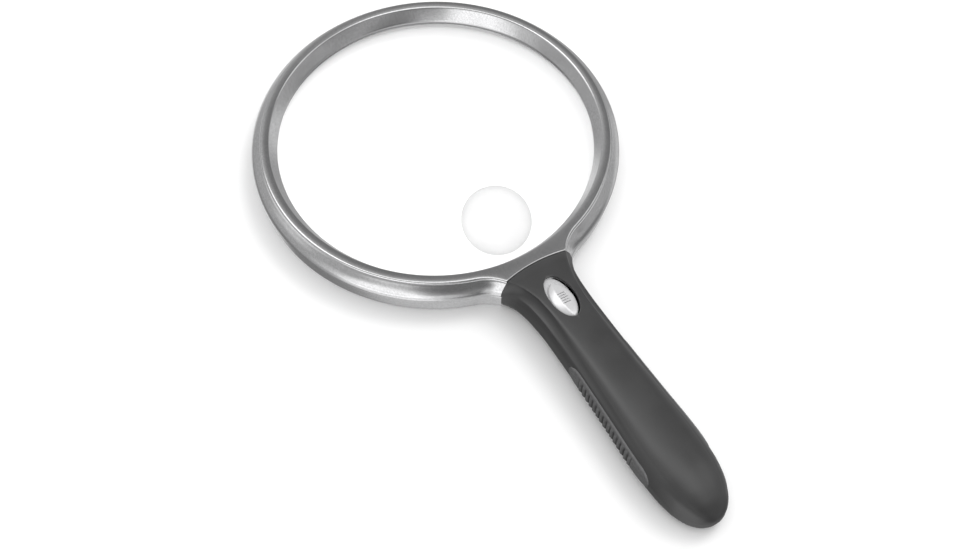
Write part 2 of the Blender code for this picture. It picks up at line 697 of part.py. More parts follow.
def make_lamp():
    block("led_board", (-7.5, 7.5), (72.8, 76.8), (4.6, 5.3), "green_board")
    for side, name in ((-1, "led_left"), (1, "led_right")):
        base = block(name, (side * 4.6 - 1.5, side * 4.6 + 1.5), (73.7, 76.5), (3.5, 4.3), "lamp")
        dome = [(1.25, 0), (1.2, -0.5), (0.9, -1.0), (0.4, -1.3)]
        place = (side * 4.6, along(75.1), 3.7)
        combine(base, turned(f"{name}_dome", dome[::-1], place, (0, 0, 1), 12), "UNION")
    section = [(76.9, 0.1), (73.5, 0.1), (70.9, 5.3), (71.8, 5.3), (74.0, 1.1), (76.9, 1.1)]
    rings = [[(x, along(reach), z) for reach, z in section] for x in (-8.2, 8.2)]
    solid("led_window", *loft(rings), "clear_plastic")
    line = [(77.25, 4.75), (78.6, 4.75), (80.5, 4.85), (83.5, 5.6), (87.0, 7.2), (90.0, 8.6), (92.6, 9.25)]
    line.append((96.0, 9.35))
    for side, name, finish in ((-1, "wire_black", "black_rubber"), (1, "wire_red", "red_wire")):
        tube(name, [(side * 1.2, along(reach), z) for reach, z in line], 0.45, 8, finish)


def make_screws():
    for side, word in ((-1, "left"), (1, "right")):
        kinds = ((NECK_SCREW, "neck_screw", 14.3), (SHELL_SCREW, "handle_screw", 13.0))
        for (x, reach), kind, tip in kinds:
            profile = [
                (HEAD_RADIUS, 0.25),
                (HEAD_RADIUS, 1.15),
                (SCREW_RADIUS, 1.15),
                (SCREW_RADIUS, tip - 0.8),
                (0.4, tip),
            ]
            place = (side * x, along(reach), 0)
            made = turned(f"{kind}_{word}", profile, place, (0, 0, 1), 12, "steel_screw")
            for i, (a, b) in enumerate(((1.3, 0.3), (0.3, 1.3))):
                spot = (side * x - a, side * x + a)
                slot = block(f"{kind}_{word}_slot_{i}", spot, (reach - b, reach + b), (-1.0, 0.7))
                combine(made, slot, "DIFFERENCE")


# ---------------------------------------------------------------------------------------------------- cells


def make_cells():
    """The left cell has its positive end towards the lens, the right one towards the butt."""
    edge = CELL_RADIUS
    profile = [
        (1.9, 0.0),
        (1.9, 0.9),
        (edge - 0.5, 1.0),
        (edge, 1.4),
        (edge, CELL_LENGTH - 0.4),
        (edge - 0.4, CELL_LENGTH),
    ]
    place = (-CELL_OFFSET, along(CELL_FRONT), CELL_Z)
    turned("battery_left", profile, place, (0, -1, 0), 20, "cell_jacket")
    place = (CELL_OFFSET, along(BRIDGE_REACH - 0.4), CELL_Z)
    turned("battery_right", profile, place, (0, 1, 0), 20, "cell_jacket")


def coil(name, x, reach, turns=2.5, radius=2.6, wire=0.35):
    """A short compression spring between two reaches, around the axis of a cell."""
    steps = int(turns * 10)
    route = []
    for i in range(steps + 1):
        turn = 2 * math.pi * turns * i / steps
        place = reach[0] + wire + (reach[1] - reach[0] - 2 * wire) * i / steps
        route.append((x + radius * math.cos(turn), along(place), CELL_Z + radius * math.sin(turn)))
    route = np.array(route)
    rings = []
    for i, place in enumerate(route):
        outward = place - (x, place[1], CELL_Z)
        outward /= np.linalg.norm(outward)
        lengthwise = np.array([0.0, 1.0, 0.0])
        ring = [2 * math.pi * j / 5 for j in range(5)]
        rings.append([place + wire * (math.cos(t) * outward + math.sin(t) * lengthwise) for t in ring])
    solid(name, *loft(rings), "nickel")


def make_contacts():
    plate = (139.3, 139.8)
    for side, name in ((-1, "positive_contact"), (1, "negative_contact")):
        x = sorted((side * 1.6, side * 9.2))
        made = block(name, x, plate, (5.2, 14.4), "nickel")
        x = sorted((side * 2.9, side * 4.4))
        strip = block(f"{name}_strip", x, (130.6, 139.6), (11.6, 12.1))
        combine(made, strip, "UNION")
    block("bridge_contact", (-8.2, 8.2), (BRIDGE_REACH, BRIDGE_REACH + 0.5), (5.4, 12.6), "nickel")
    back = BRIDGE_REACH - 0.4 - CELL_LENGTH
    coil("negative_spring", CELL_OFFSET, (plate[1] + 0.3, back - 0.3))
    coil("bridge_spring", -CELL_OFFSET, (CELL_FRONT + CELL_LENGTH + 0.3, BRIDGE_REACH - 0.3))


def main():
    for thing in list(bpy.data.objects):
        bpy.data.objects.remove(thing)
    make_front_rim()
    make_rear_rim()
    make_lens()
    make_gasket()
    make_handle_upper()
    make_handle_lower()
    make_battery_door()
    grip("grip_left", -1, 0.0, "grip_rubber")
    grip("grip_right", 1, 0.0, "grip_rubber")
    make_switch()
    make_board()
    make_lamp()
    make_screws()
    make_cells()
    make_contacts()


main()
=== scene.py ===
"""Looks of the low vision magnifier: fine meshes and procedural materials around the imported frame.

The part lies flat. X runs across it, +Y along the handle towards the lens, +Z up. Lengths are in millimetres
until a mesh is made. `reach` is a distance along the handle, counted from the lens centre towards the butt.
"""

import json
import math

import bmesh
import bpy
import numpy as np
from mathutils import Matrix, Vector


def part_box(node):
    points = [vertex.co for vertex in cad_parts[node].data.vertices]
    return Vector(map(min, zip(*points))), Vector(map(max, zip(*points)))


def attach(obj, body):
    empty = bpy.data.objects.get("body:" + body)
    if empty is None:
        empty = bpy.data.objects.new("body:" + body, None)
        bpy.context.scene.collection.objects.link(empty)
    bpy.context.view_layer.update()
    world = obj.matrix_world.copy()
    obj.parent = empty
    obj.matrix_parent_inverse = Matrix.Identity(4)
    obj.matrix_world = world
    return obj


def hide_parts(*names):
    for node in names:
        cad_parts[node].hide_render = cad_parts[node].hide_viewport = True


MM = 0.001
UP = (0, 0, 1)
LEAST_RADIUS = 0.003

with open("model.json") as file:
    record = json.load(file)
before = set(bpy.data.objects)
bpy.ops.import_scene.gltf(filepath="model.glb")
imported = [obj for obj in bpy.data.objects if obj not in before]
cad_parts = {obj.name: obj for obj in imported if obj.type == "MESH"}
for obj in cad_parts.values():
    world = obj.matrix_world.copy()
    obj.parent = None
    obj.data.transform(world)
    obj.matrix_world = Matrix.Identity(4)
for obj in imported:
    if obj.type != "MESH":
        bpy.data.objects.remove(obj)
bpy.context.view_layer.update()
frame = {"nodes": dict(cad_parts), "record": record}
lens_low, lens_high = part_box("lens")
CENTRE_Y = (lens_low.y + lens_high.y) / 2 / MM

# The frame around the lens.
FILLET_RADIUS = 22.0
NECK_REACH = 78.3
NECK_BULGE = 0.0083
RING_STATIONS = 241
FILLET_STATIONS = 22
END_STATIONS = 24
PRONG_X = (4.2, 8.8)
PRONG_REACH = (NECK_REACH - 1.5, 93.0)

# The outer sides of the frame's halves: radius, half width of the neck, z, and how far the neck's end is
# drawn in. Their inner sides: radius and z.
FRONT_OUTSIDE = (
    (80.35, 17.45, 8.65, 0.0),
    (80.58, 17.66, 8.95, 0.0),
    (80.65, 17.73, 9.7, 0.0),
    (80.56, 17.66, 10.6, 0.0),
    (80.2, 17.4, 11.8, 0.0),
    (79.1, 16.6, 13.5, 0.0),
    (77.6, 15.5, 15.2, 0.0),
    (76.75, 14.85, 16.1, 0.0),
    (76.45, 14.62, 16.28, 0.02),
    (76.38, 14.58, 16.4, 0.06),
    (76.3, 14.52, 16.62, 0.18),
    (76.05, 14.38, 16.88, 0.42),
    (75.7, 14.2, 17.0, 0.65),
)
FRONT_FLAT = (75.0, 13.55, 17.0, 0.7)
FRONT_INSIDE = (
    (73.0, 17.0), (72.45, 16.72), (72.15, 16.2), (69.4, 11.2), (69.4, 10.02),
    (70.25, 9.95), (70.25, 10.75), (71.6, 10.75), (71.6, 8.65), (74.2, 8.65),
)
FRONT_GROOVE = ((74.2, 10.0), (75.8, 10.0), (75.8, 8.65))
REAR_OUTSIDE = (
    (80.0, 17.25, 8.35, 0.0),
    (80.12, 17.35, 8.1, 0.0),
    (80.1, 17.38, 7.4, 0.0),
    (79.9, 17.35, 5.0, 0.0),
    (79.6, 17.3, 2.2, 0.0),
    (79.35, 17.15, 1.2, 0.0),
    (78.8, 16.8, 0.4, 0.05),
    (77.8, 16.0, 0.0, 0.3),
)
REAR_INSIDE = ((73.2, 0.0), (72.6, 0.5), (70.0, 6.1), (70.0, 6.6), (71.6, 6.6), (71.6, 8.35), (74.5, 8.35))
REAR_TONGUE = ((74.5, 9.6), (75.5, 9.6), (75.5, 8.35))

# The lens, the spot on it and the seal round it. The spot is a dome, longer along a slanted line. Its painted
# shade, a grey over it, has an even share, and one that rises towards the rim by a power.
LENS_RADIUS = 71.2
LENS_Z = (6.9, 9.6)
LENS_CROWN = 5.0
SPOT_REACH = 49.6
SPOT_RADIUS = 15.0
SPOT_STRETCH = 1.115
SPOT_TURN = -34.0
SPOT_RISE = 2.4
SPOT_ROOT = (14.0, -1.4)
SPOT_PAINTED_SHADE = (0.3, 0.3, 0.303)
SPOT_SHADE_SHARES = (0.66, 0.34, 5.5)
SEAL_MIDDLE = (70.95, 10.23)
SEAL_HALF = (0.55, 0.4)

# The handle.
HANDLE_START = 78.6
BUTT_REACH = 204.5
BUTT_HEIGHT = 6.9
HANDLE_WALL = 2.0
HANDLE_MIDDLE = 9.0
HANDLE_PARTING = 3.05

TOP_STEPS, FLANK_STEPS, BAND_STEPS, LOW_STEPS = 12, 14, 10, 5

# One row for each place along the handle: reach, half width, half width and height of the top's crease,
# height of the top's middle, half width and height of the side band's upper edge, hollow of the flank,
# height of the underside.
HANDLE_LINES = np.array([
    (78.6, 17.6, 14.1, 16.95, 17.1, 17.0, 11.0, -0.4, 0.0),
    (83.0, 15.6, 12.3, 18.5, 18.85, 15.0, 12.8, 0.4, 0.0),
    (88.0, 14.0, 10.6, 19.25, 19.7, 13.3, 14.0, 0.9, 0.0),
    (96.0, 12.7, 8.7, 19.75, 20.25, 12.0, 15.2, 1.0, 0.0),
    (106.0, 12.1, 8.0, 19.8, 20.4, 11.5, 15.7, 0.8, 0.0),
    (125.0, 12.4, 8.3, 19.45, 20.45, 11.7, 15.6, 0.5, 0.0),
    (150.0, 13.4, 9.2, 18.9, 20.4, 12.5, 15.0, 0.3, 0.0),
    (172.0, 14.5, 9.9, 18.2, 20.2, 13.3, 14.3, 0.0, 0.0),
    (183.0, 14.1, 9.4, 17.4, 19.5, 12.8, 13.6, -0.4, 0.0),
    (191.0, 12.8, 8.3, 16.0, 18.0, 11.5, 12.6, -0.6, 0.0),
    (197.5, 10.1, 6.5, 14.0, 15.6, 9.0, 11.2, -0.4, 0.4),
    (201.5, 6.9, 4.5, 11.9, 12.8, 6.2, 9.9, -0.2, 1.7),
    (203.7, 3.6, 2.3, 9.8, 10.3, 3.2, 8.8, -0.1, 3.6),
    (204.2, 2.1, 1.4, 8.9, 9.2, 1.9, 8.2, 0.0, 4.7),
    (204.45, 0.8, 0.5, 7.9, 8.1, 0.7, 7.7, 0.0, 5.8),
])
# How soft the crease and the band's edge are, as the reach and the two spreads in millimetres.
HANDLE_SOFT = np.array([
    (78.6, 0.18, 0.18),
    (96.0, 0.3, 0.25),
    (106.0, 0.5, 0.3),
    (118.0, 1.1, 0.4),
    (135.0, 1.5, 0.45),
    (155.0, 2.0, 0.6),
    (172.0, 2.6, 1.0),
    (204.5, 2.6, 2.0),
])

# The slide switch: its oval opening, thumb piece, the moat round that in the plate, and the lever it drives.
OVAL_REACH = 98.2
OVAL_HALF = (5.45, 10.45)
OVAL_CEILING = 18.5
DOME_EDGE = 18.75
DOME_GAP = 0.8
DOME_CLEAR = 0.14
DOME_RISE = 1.85
GROOVE_PITCH = 1.15
GROOVE_REACH = 99.5
GROOVE_RUN = 3.2
GROOVE_X = (-1.6, 2.0)
MOAT_HALF = 9.6
MOAT_Z = (16.9, 18.9)
PLATE_REACH = (86.6, 112.6)
PLATE_Z = (17.2, 18.2)
SWITCH_TRAVEL = 3.0
LEVER_X = 1.6
LEVER_REACH = 100.5

# The battery door and the cells.
DOOR_REACH = (136.0, 190.0)
DOOR_HALF = 9.4
DOOR_TONGUE = (0.9, 1.7)
DOOR_TOP = 2.75
DOOR_GROOVES = (142.0, 144.2, 146.4, 148.6)
CELL_RADIUS = 5.25
CELL_LENGTH = 44.5
CELL_OFFSET = 5.35
CELL_Z = 9.9
CELL_FRONT = 140.3
CELL_BAND_END = (156.0, 156.4)
BRIDGE_REACH = 188.4
CELL_BACK = BRIDGE_REACH - 0.4

# The screws: their place as x and reach, the bosses and seats around them, the profile of the head, the two
# radii of the thread, and the half length and half width of the cross slot.
NECK_SCREW = (6.5, 90.0)
SHELL_SCREW = (8.0, 122.0)
INSIDE_SCREWS = (117.0, 129.0)
BOSS_RADIUS = 2.4
INSIDE_BOSS_RADIUS = 2.2
SCREW_HOLE = 1.35
NECK_HOLE = 1.4
HEAD_SEAT = 2.9
HEAD = ((0.0, 0.25), (1.75, 0.25), (2.1, 0.5), (2.1, 1.15))
THREAD = (0.82, 1.05)
THREAD_PITCH = 0.45
CROSS = (1.3, 0.26)

# The grips.
GRIP_REACH = (123.0, 179.5)
GRIP_BOTTOM = 4.6
GRIP_PROUD = 0.35
GRIP_DEEP = 0.8
GRIP_ROUND_END = 6.0
GRIP_EDGE = 0.35
RIB_REACH = (131.5, 167.0)
RIB_COUNT = 15
RIB_PITCH = (RIB_REACH[1] - RIB_REACH[0]) / (RIB_COUNT - 1)

# The lamps, springs and wires.
WINDOW = ((76.9, 1.1), (76.9, 0.1), (73.5, 0.1), (70.9, 5.3), (71.8, 5.3), (74.0, 1.1))
LED_X = 4.6
LED_REACH = 75.1
LED_DOME = (1.25, 1.3)
SPRING_RADIUS = 2.6
SPRING_WIRE = 0.33
SPRING_TURNS = 2.5
WIRE_X = 1.2
WIRE_RADIUS = 0.45
WIRE_ROUTE = (
    (77.25, 4.75), (78.6, 4.75), (80.5, 4.85), (83.5, 5.6), (87.0, 7.2), (90.0, 8.6), (92.6, 9.25),
    (96.0, 9.35),
)

# The studio: the brightness of what reflections see, and the patches in it. Each has a direction, the angles
# in degrees where it starts to fade and ends, and what it adds.
REFLECTED_BASE = 0.46
REFLECTED_LEAST = 0.02
PATCHES = (
    ((-0.02, -0.1, 0.99), 12, 25, 0.9),
    ((-0.33, 0.41, 0.85), 10, 22, 1.5),
    ((0.66, -0.24, 0.71), 8, 22, 0.6),
    ((0.17, -0.42, 0.88), 10, 20, 0.5),
    ((0.45, -0.75, 0.45), 12, 30, -0.2),
    ((-0.84, -0.53, -0.1), 18, 28, 0.55),
    ((-0.7, -0.46, -0.55), 18, 28, 0.5),
    ((-0.28, -0.82, 0.5), 8, 26, -0.28),
    ((-0.1, -0.97, -0.2), 10, 26, -0.28),
    ((0.66, 0.47, 0.56), 18, 38, -0.26),
    ((-0.45, 0.5, -0.74), 15, 36, -0.2),
    ((-0.76, 0.43, 0.45), 12, 27, 0.4),
    ((-0.1, 0.72, -0.68), 12, 21, 0.5),
    ((-0.97, -0.2, -0.08), 10, 22, 0.22),
    ((0.9, 0.0, -0.43), 8, 20, 0.25),
    ((0.28, 0.33, -0.9), 8, 24, 0.3),
    ((-0.5, -0.84, -0.15), 10, 20, 0.38),
    ((-0.8, -0.58, 0.18), 8, 20, 0.4),
    ((0.71, -0.56, -0.42), 8, 25, -0.22),
    ((-0.3, -0.45, -0.84), 14, 30, 0.2),
)
# The soft light comes from above and a little from the right: its direction, how bright it is from behind
# and from there, and the cosines between which it changes.
DOME_FROM = (0.35, 0.25, 0.9)
DOME_LIGHT = (0.35, 1.58)
DOME_CHANGE = (-0.4, 0.85)
BACKDROP = (0.9, 0.91, 0.92)
KEY_LIGHT = 0.7
KEY_SPREAD = 26.0
KEY_FROM = (1.0, 0.3, 1.35)
PAGE_LIGHT = 0.02
PAGE_RADIUS = 72.0
PAGE_Z = 1.2
FLOOR_HALF = 15.0
FLOOR_Z = -0.1

# The camera: azimuth, elevation and roll in degrees, and its lens, distance and target.
CAMERA_TURN = (-33.97, 59.10, 2.06)
CAMERA_SENSOR = 36.0
CAMERA_LENS = 47.06
CAMERA_DISTANCE = 520.0
CAMERA_TARGET = (-18.87, CENTRE_Y - 73.41, 17.0)


# ---- mesh tools


def along(reach):
    """The y of a place on the handle."""
    return CENTRE_Y - reach


def add_object(name, data):
    made = bpy.data.objects.new(name, data)
    bpy.context.scene.collection.objects.link(made)
    return made


def loft(rings, caps):
    """Points and faces of a skin over closed rings of equal length. Without caps it closes on itself."""
    count = len(rings[0])
    points = np.concatenate([np.asarray(ring, float) for ring in rings])
    spans = len(rings) - 1 if caps else len(rings)
    faces = []
    for i in range(spans):
        here, there = i * count, ((i + 1) % len(rings)) * count
        for j in range(count):
            k = (j + 1) % count
            faces.append((here + j, here + k, there + k, there + j))
    if caps:
        faces.append(tuple(range(count)))
        faces.append(tuple(range(len(points) - 1, len(points) - 1 - count, -1)))
    return points, faces


def mesh_piece(name, rings, angle=35.0, caps=True):
    """A closed, smooth-shaded solid over rings in millimetres. Edges sharper than the angle stay sharp."""
    points, faces = loft(rings, caps)
    mesh = bpy.data.meshes.new(name)
    mesh.from_pydata((points * MM).tolist(), [], faces)
    shape = bmesh.new()
    shape.from_mesh(mesh)
    bmesh.ops.remove_doubles(shape, verts=shape.verts, dist=2e-6)
    bmesh.ops.recalc_face_normals(shape, faces=shape.faces)
    bmesh.ops.triangulate(shape, faces=[f for f in shape.faces if len(f.verts) > 4])
    shape.to_mesh(mesh)
    shape.free()
    made = add_object(name, mesh)
    shade(made, angle)
    return made


def shade(made, angle=30):
    """Smooth shading, with edges above the angle left sharp."""
    made.data.shade_smooth()
    made.data.set_sharp_from_angle(angle=math.radians(angle))


def modify(made, kind, **settings):
    """Applies a modifier to the mesh."""
    step = made.modifiers.new("step", kind)
    for name, value in settings.items():
        setattr(step, name, value)
    graph = bpy.context.evaluated_depsgraph_get()
    result = bpy.data.meshes.new_from_object(made.evaluated_get(graph))
    made.modifiers.clear()
    made.data = result


def even_normals(made):
    """Normals weighted by face size, so that slivers beside a cut don't show in the shading."""
    modify(made, "WEIGHTED_NORMAL", keep_sharp=True)


def combine(target, other, operation):
    """Applies a Boolean to the target's mesh and removes the other object."""
    modify(target, "BOOLEAN", operation=operation, solver="EXACT", object=other)
    bpy.data.objects.remove(other)


def cut(target, other):
    combine(target, other, "DIFFERENCE")


def fuse(target, other):
    combine(target, other, "UNION")


def block(name, x, reach, z):
    """A box between two values of x, of reach and of z."""
    low, high = along(max(reach)), along(min(reach))
    corners = [(x[0], low), (x[1], low), (x[1], high), (x[0], high)]
    return mesh_piece(name, [[(a, b, level) for a, b in corners] for level in z])


def side_block(side, x, reach, z):
    """A box on the left or right side, between two distances from the middle."""
    return block("side", sorted((side * x[0], side * x[1])), reach, z)


def rounded_block(name, x, reach, z, edge):
    """A box with rounded edges."""
    made = block(name, x, reach, z)
    shape = bmesh.new()
    shape.from_mesh(made.data)
    bmesh.ops.bevel(shape, geom=shape.edges[:], offset=edge * MM, segments=3, profile=0.5, affect="EDGES")
    shape.to_mesh(made.data)
    shape.free()
    shade(made, 35)
    return made


def around(turns, across, upright):
    """Points round a circle of radius 1 that is set by two directions."""
    return np.outer(np.cos(turns), across) + np.outer(np.sin(turns), upright)


def full_turn(sides):
    return np.linspace(0, 2 * math.pi, sides, endpoint=False)


def turned(name, profile, place, axis, sides, angle=35.0):
    """A closed turned solid. The profile is (radius, distance along the axis), from one end to the other."""
    axis = np.asarray(axis, float) / np.linalg.norm(axis)
    helper = np.array([1.0, 0, 0]) if abs(axis[0]) < 0.9 else np.array([0, 1.0, 0])
    across = np.cross(axis, helper)
    across /= np.linalg.norm(across)
    spokes = around(full_turn(sides), across, np.cross(axis, across))
    place = np.asarray(place, float)
    rings = [place + axis * height + max(radius, LEAST_RADIUS) * spokes for radius, height in profile]
    return mesh_piece(name, rings, angle)


def pin(name, x, reach, z, profile, sides):
    """A turned solid that stands upright, with its profile's heights counted from z."""
    return turned(name, profile, (x, along(reach), z), UP, sides)


def rounded_profile(points, radius, steps=5):
    """A profile with each inner corner rounded off."""
    points = np.asarray(points, float)
    made = [points[0]]
    for before, here, after in zip(points, points[1:], points[2:]):
        back, ahead = before - here, after - here
        size = min(radius, 0.45 * np.linalg.norm(back), 0.45 * np.linalg.norm(ahead))
        start = here + back / np.linalg.norm(back) * size
        end = here + ahead / np.linalg.norm(ahead) * size
        for t in np.linspace(0, 1, steps):
            made.append((1 - t) ** 2 * start + 2 * t * (1 - t) * here + t * t * end)
    made.append(points[-1])
    return np.array(made)


def tube(route, radius, sides):
    """Rings of a round wire along a route."""
    route = np.asarray(route, float)
    rings = []
    upright = np.array(UP, float)
    for i, place in enumerate(route):
        ahead = route[min(i + 1, len(route) - 1)] - route[max(i - 1, 0)]
        ahead /= np.linalg.norm(ahead)
        across = np.cross(ahead, upright)
        across /= np.linalg.norm(across)
        upright = np.cross(across, ahead)
        rings.append(place + radius * around(full_turn(sides), across, upright))
    return rings


def smooth_values(x, y, places):
    """Values read from a curve through the stations that doesn't overshoot between them."""
    step = np.diff(x)
    slope = np.diff(y) / step
    ends = [slope[0]]
    for i in range(1, len(x) - 1):
        same_way = slope[i - 1] * slope[i] > 0
        ends.append(2 * slope[i - 1] * slope[i] / (slope[i - 1] + slope[i]) if same_way else 0.0)
    ends = np.array([*ends, slope[-1]])
    places = np.clip(np.asarray(places, float), x[0], x[-1])
    i = np.clip(np.searchsorted(x, places) - 1, 0, len(step) - 1)
    t = (places - x[i]) / step[i]
    start = y[i] * (1 + 2 * t) * (1 - t) ** 2 + step[i] * ends[i] * t * (1 - t) ** 2
    return start + y[i + 1] * t * t * (3 - 2 * t) + step[i] * ends[i + 1] * t * t * (t - 1)


def through(points, per_span):
    """A smooth curve through points, with the given number of steps in each span."""
    points = np.asarray(points, float)
    length = np.concatenate([[0], np.cumsum(np.linalg.norm(np.diff(points, axis=0), axis=1))])
    places = [t for a, b in zip(length, length[1:]) for t in np.linspace(a, b, per_span, endpoint=False)]
    places.append(length[-1])
    return np.column_stack([smooth_values(length, points[:, i], places) for i in range(points.shape[1])])


def put(piece, node, slot, body="magnifier", material=None):
    """The piece rides on a body, stands for a CAD node and takes its finish from a slot."""
    piece.data.materials.clear()
    piece.data.materials.append(material or FINISHES[slot])
    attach(piece, body)
    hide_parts(node)


# ---- materials


class Nodes:
    """A node tree, with short ways to add and join nodes."""

    def __init__(self, tree):
        self.tree = tree

    def feed(self, socket, value):
        """Joins another socket to this one, or sets it to a number, a place or a colour."""
        if isinstance(value, bpy.types.NodeSocket):
            self.tree.links.new(value, socket)
        elif isinstance(value, tuple):
            socket.default_value = (*value, 1)[: len(socket.default_value)]
        else:
            socket.default_value = value

    def add(self, kind, feeds=None, **settings):
        """A node with its settings, and what goes into its sockets by name or number."""
        made = self.tree.nodes.new(kind)
        for name, value in settings.items():
            setattr(made, name, value)
        for socket, value in (feeds or {}).items():
            self.feed(made.inputs[socket], value)
        return made

    def span(self, value, low, high, start=0.0, end=1.0, shape="LINEAR"):
        """The value taken from the range between start and end to the one between low and high."""
        feeds = {"Value": value, "From Min": start, "From Max": end, "To Min": low, "To Max": high}
        return self.add("ShaderNodeMapRange", feeds, interpolation_type=shape).outputs["Result"]

    def ramp(self, value, start, end):
        return self.span(value, 0.0, 1.0, start, end)

    def math(self, operation, a, b=0.0):
        return self.add("ShaderNodeMath", {0: a, 1: b}, operation=operation).outputs[0]

    def times(self, a, b):
        return self.math("MULTIPLY", a, b)

    def vector(self, operation, a, b=(0, 0, 0), output="Vector"):
        return self.add("ShaderNodeVectorMath", {0: a, 1: b}, operation=operation).outputs[output]

    def mix(self, factor, a, b):
        """Shaders a and b mixed by a factor."""
        return self.add("ShaderNodeMixShader", {0: factor, 1: a, 2: b}).outputs[0]


class Material(Nodes):
    """A material's nodes. Places and sizes in its textures are in millimetres."""

    def __init__(self, name):
        self.material = bpy.data.materials.new(name)
        self.material.use_nodes = True
        super().__init__(self.material.node_tree)
        self.shader = self.tree.nodes["Principled BSDF"]
        self.place = self.vector("MULTIPLY", self.add("ShaderNodeTexCoord").outputs["Object"], (1 / MM,) * 3)

    def axis(self, name):
        return self.add("ShaderNodeSeparateXYZ", {0: self.place}).outputs[name]

    def noise(self, size, detail=2.0, roughness=0.5, stretch=None):
        """Noise from 0 to 1 whose features are about `size` millimetres."""
        place = self.vector("MULTIPLY", self.place, stretch) if stretch else self.place
        feeds = {"Scale": 1 / size, "Detail": detail, "Roughness": roughness, "Vector": place}
        return self.add("ShaderNodeTexNoise", feeds).outputs["Fac"]

    def cells(self, size, output="Distance", feature="F1"):
        feeds = {"Scale": 1 / size, "Vector": self.place}
        return self.add("ShaderNodeTexVoronoi", feeds, feature=feature).outputs[output]

    def blend(self, factor, a, b):
        """Colours a and b mixed by a factor."""
        return self.add("ShaderNodeMix", {"Factor": factor, 6: a, 7: b}, data_type="RGBA").outputs[2]

    def bump(self, height, distance, strength, under=None):
        """A bump whose full height is `distance` millimetres, over another one where that is given."""
        feeds = {"Distance": distance * MM, "Strength": strength, "Height": height}
        if under is not None:
            feeds["Normal"] = under
        return self.add("ShaderNodeBump", feeds).outputs["Normal"]

    def worn_edges(self, size):
        """0 on open faces, rising to 1 along outer edges, within `size` millimetres."""
        pointed = self.add("ShaderNodeNewGeometry").outputs["Pointiness"]
        return self.ramp(pointed, 0.5 + 0.02 / size, 0.5 + 0.08 / size)

    def set(self, **values):
        """Sets or joins the shader's sockets. Underscores in names stand for spaces."""
        for name, value in values.items():
            self.feed(self.shader.inputs[name.replace("_", " ")], value)
        return self.material

    def let_through(self, factor):
        """Lets rays pass straight through by a factor."""
        clear = self.add("ShaderNodeBsdfTransparent").outputs[0]
        output = self.tree.nodes["Material Output"].inputs["Surface"]
        self.feed(output, self.mix(factor, self.shader.outputs[0], clear))
        return self.material


def grey(value):
    return (value, value, value * 1.01)


def satin_silver():
    """Metallic paint over plastic: fine bright flake, faint cloudiness, a satin clear coat."""
    m = Material("satin_silver")
    flake = m.cells(0.5, "Color")
    base = m.blend(m.ramp(m.noise(9.0, 3.0), 0.3, 0.7), grey(0.89), grey(0.95))
    colour = m.blend(m.span(flake, 0.0, 0.32), base, grey(0.5))
    colour = m.blend(m.span(m.noise(0.9, 3.0, 0.7), 0.0, 0.18, 0.4, 0.7), colour, grey(0.6))
    rough = m.math("ADD", m.span(m.noise(0.5, 3.0), 0.13, 0.19), m.span(flake, -0.02, 0.03))
    normal = m.bump(m.noise(0.22, 2.0, 0.6), 0.0035, 0.5, m.bump(m.noise(2.4, 1.0), 0.002, 0.4))
    return m.set(Base_Color=colour, Metallic=1.0, Roughness=rough, Normal=normal)


def bright_silver():
    """The switch: pale silver lacquer, part metal and part white, with a tight gloss, and painted shade in its
    grooves.
    """
    m = Material("bright_silver")
    colour = m.blend(m.span(m.cells(0.2, "Color"), 0.0, 0.3), grey(0.9), grey(0.74))
    # Painted shade: the grooves across the thumb piece are painted dark and made less metallic.
    place = m.math("SUBTRACT", along(GROOVE_REACH), m.axis("Y"))
    wave = m.math("COSINE", m.times(place, 2 * math.pi / GROOVE_PITCH))
    lines = m.math("POWER", m.math("MAXIMUM", wave, 0.0), 5.0)
    lines = m.times(lines, m.math("LESS_THAN", m.math("ABSOLUTE", place), GROOVE_RUN))
    aside = m.math("ABSOLUTE", m.math("SUBTRACT", m.axis("X"), sum(GROOVE_X) / 2))
    half = (GROOVE_X[1] - GROOVE_X[0]) / 2
    lines = m.times(lines, m.span(aside, 1.0, 0.0, half - 0.4, half))
    colour = m.blend(m.times(lines, 0.8), colour, grey(0.12))
    metallic = m.math("SUBTRACT", 0.5, m.times(lines, 0.4))
    rough, normal = m.span(m.noise(0.4, 3.0), 0.2, 0.28), m.bump(m.noise(0.9), 0.003, 0.5)
    return m.set(Base_Color=colour, Metallic=metallic, Roughness=rough, Normal=normal)


def soft_touch():
    """Charcoal plastic with a soft-touch lacquer: fine moulded grain, cloudy gloss, paler rubbed edges."""
    m = Material("soft_touch_charcoal")
    base = 0.034
    cloud = m.noise(14.0, 3.0)
    colour = m.blend(m.ramp(cloud, 0.3, 0.7), grey(base * 0.9), grey(base * 1.12))
    colour = m.blend(m.span(m.noise(0.35), 0.0, 0.5, 0.4, 0.8), colour, grey(base * 1.3))
    colour = m.blend(m.worn_edges(1.0), colour, grey(base * 1.6))
    rough = m.math("ADD", m.span(cloud, 0.33, 0.42, 0.3, 0.7), m.span(m.noise(0.3), -0.03, 0.03))
    pits = m.ramp(m.cells(0.22), 0.0, 0.7)
    normal = m.bump(pits, 0.008, 0.35, m.bump(m.noise(2.2), 0.005, 0.4))
    return m.set(Base_Color=colour, Roughness=rough, Normal=normal, Specular_IOR_Level=0.95)


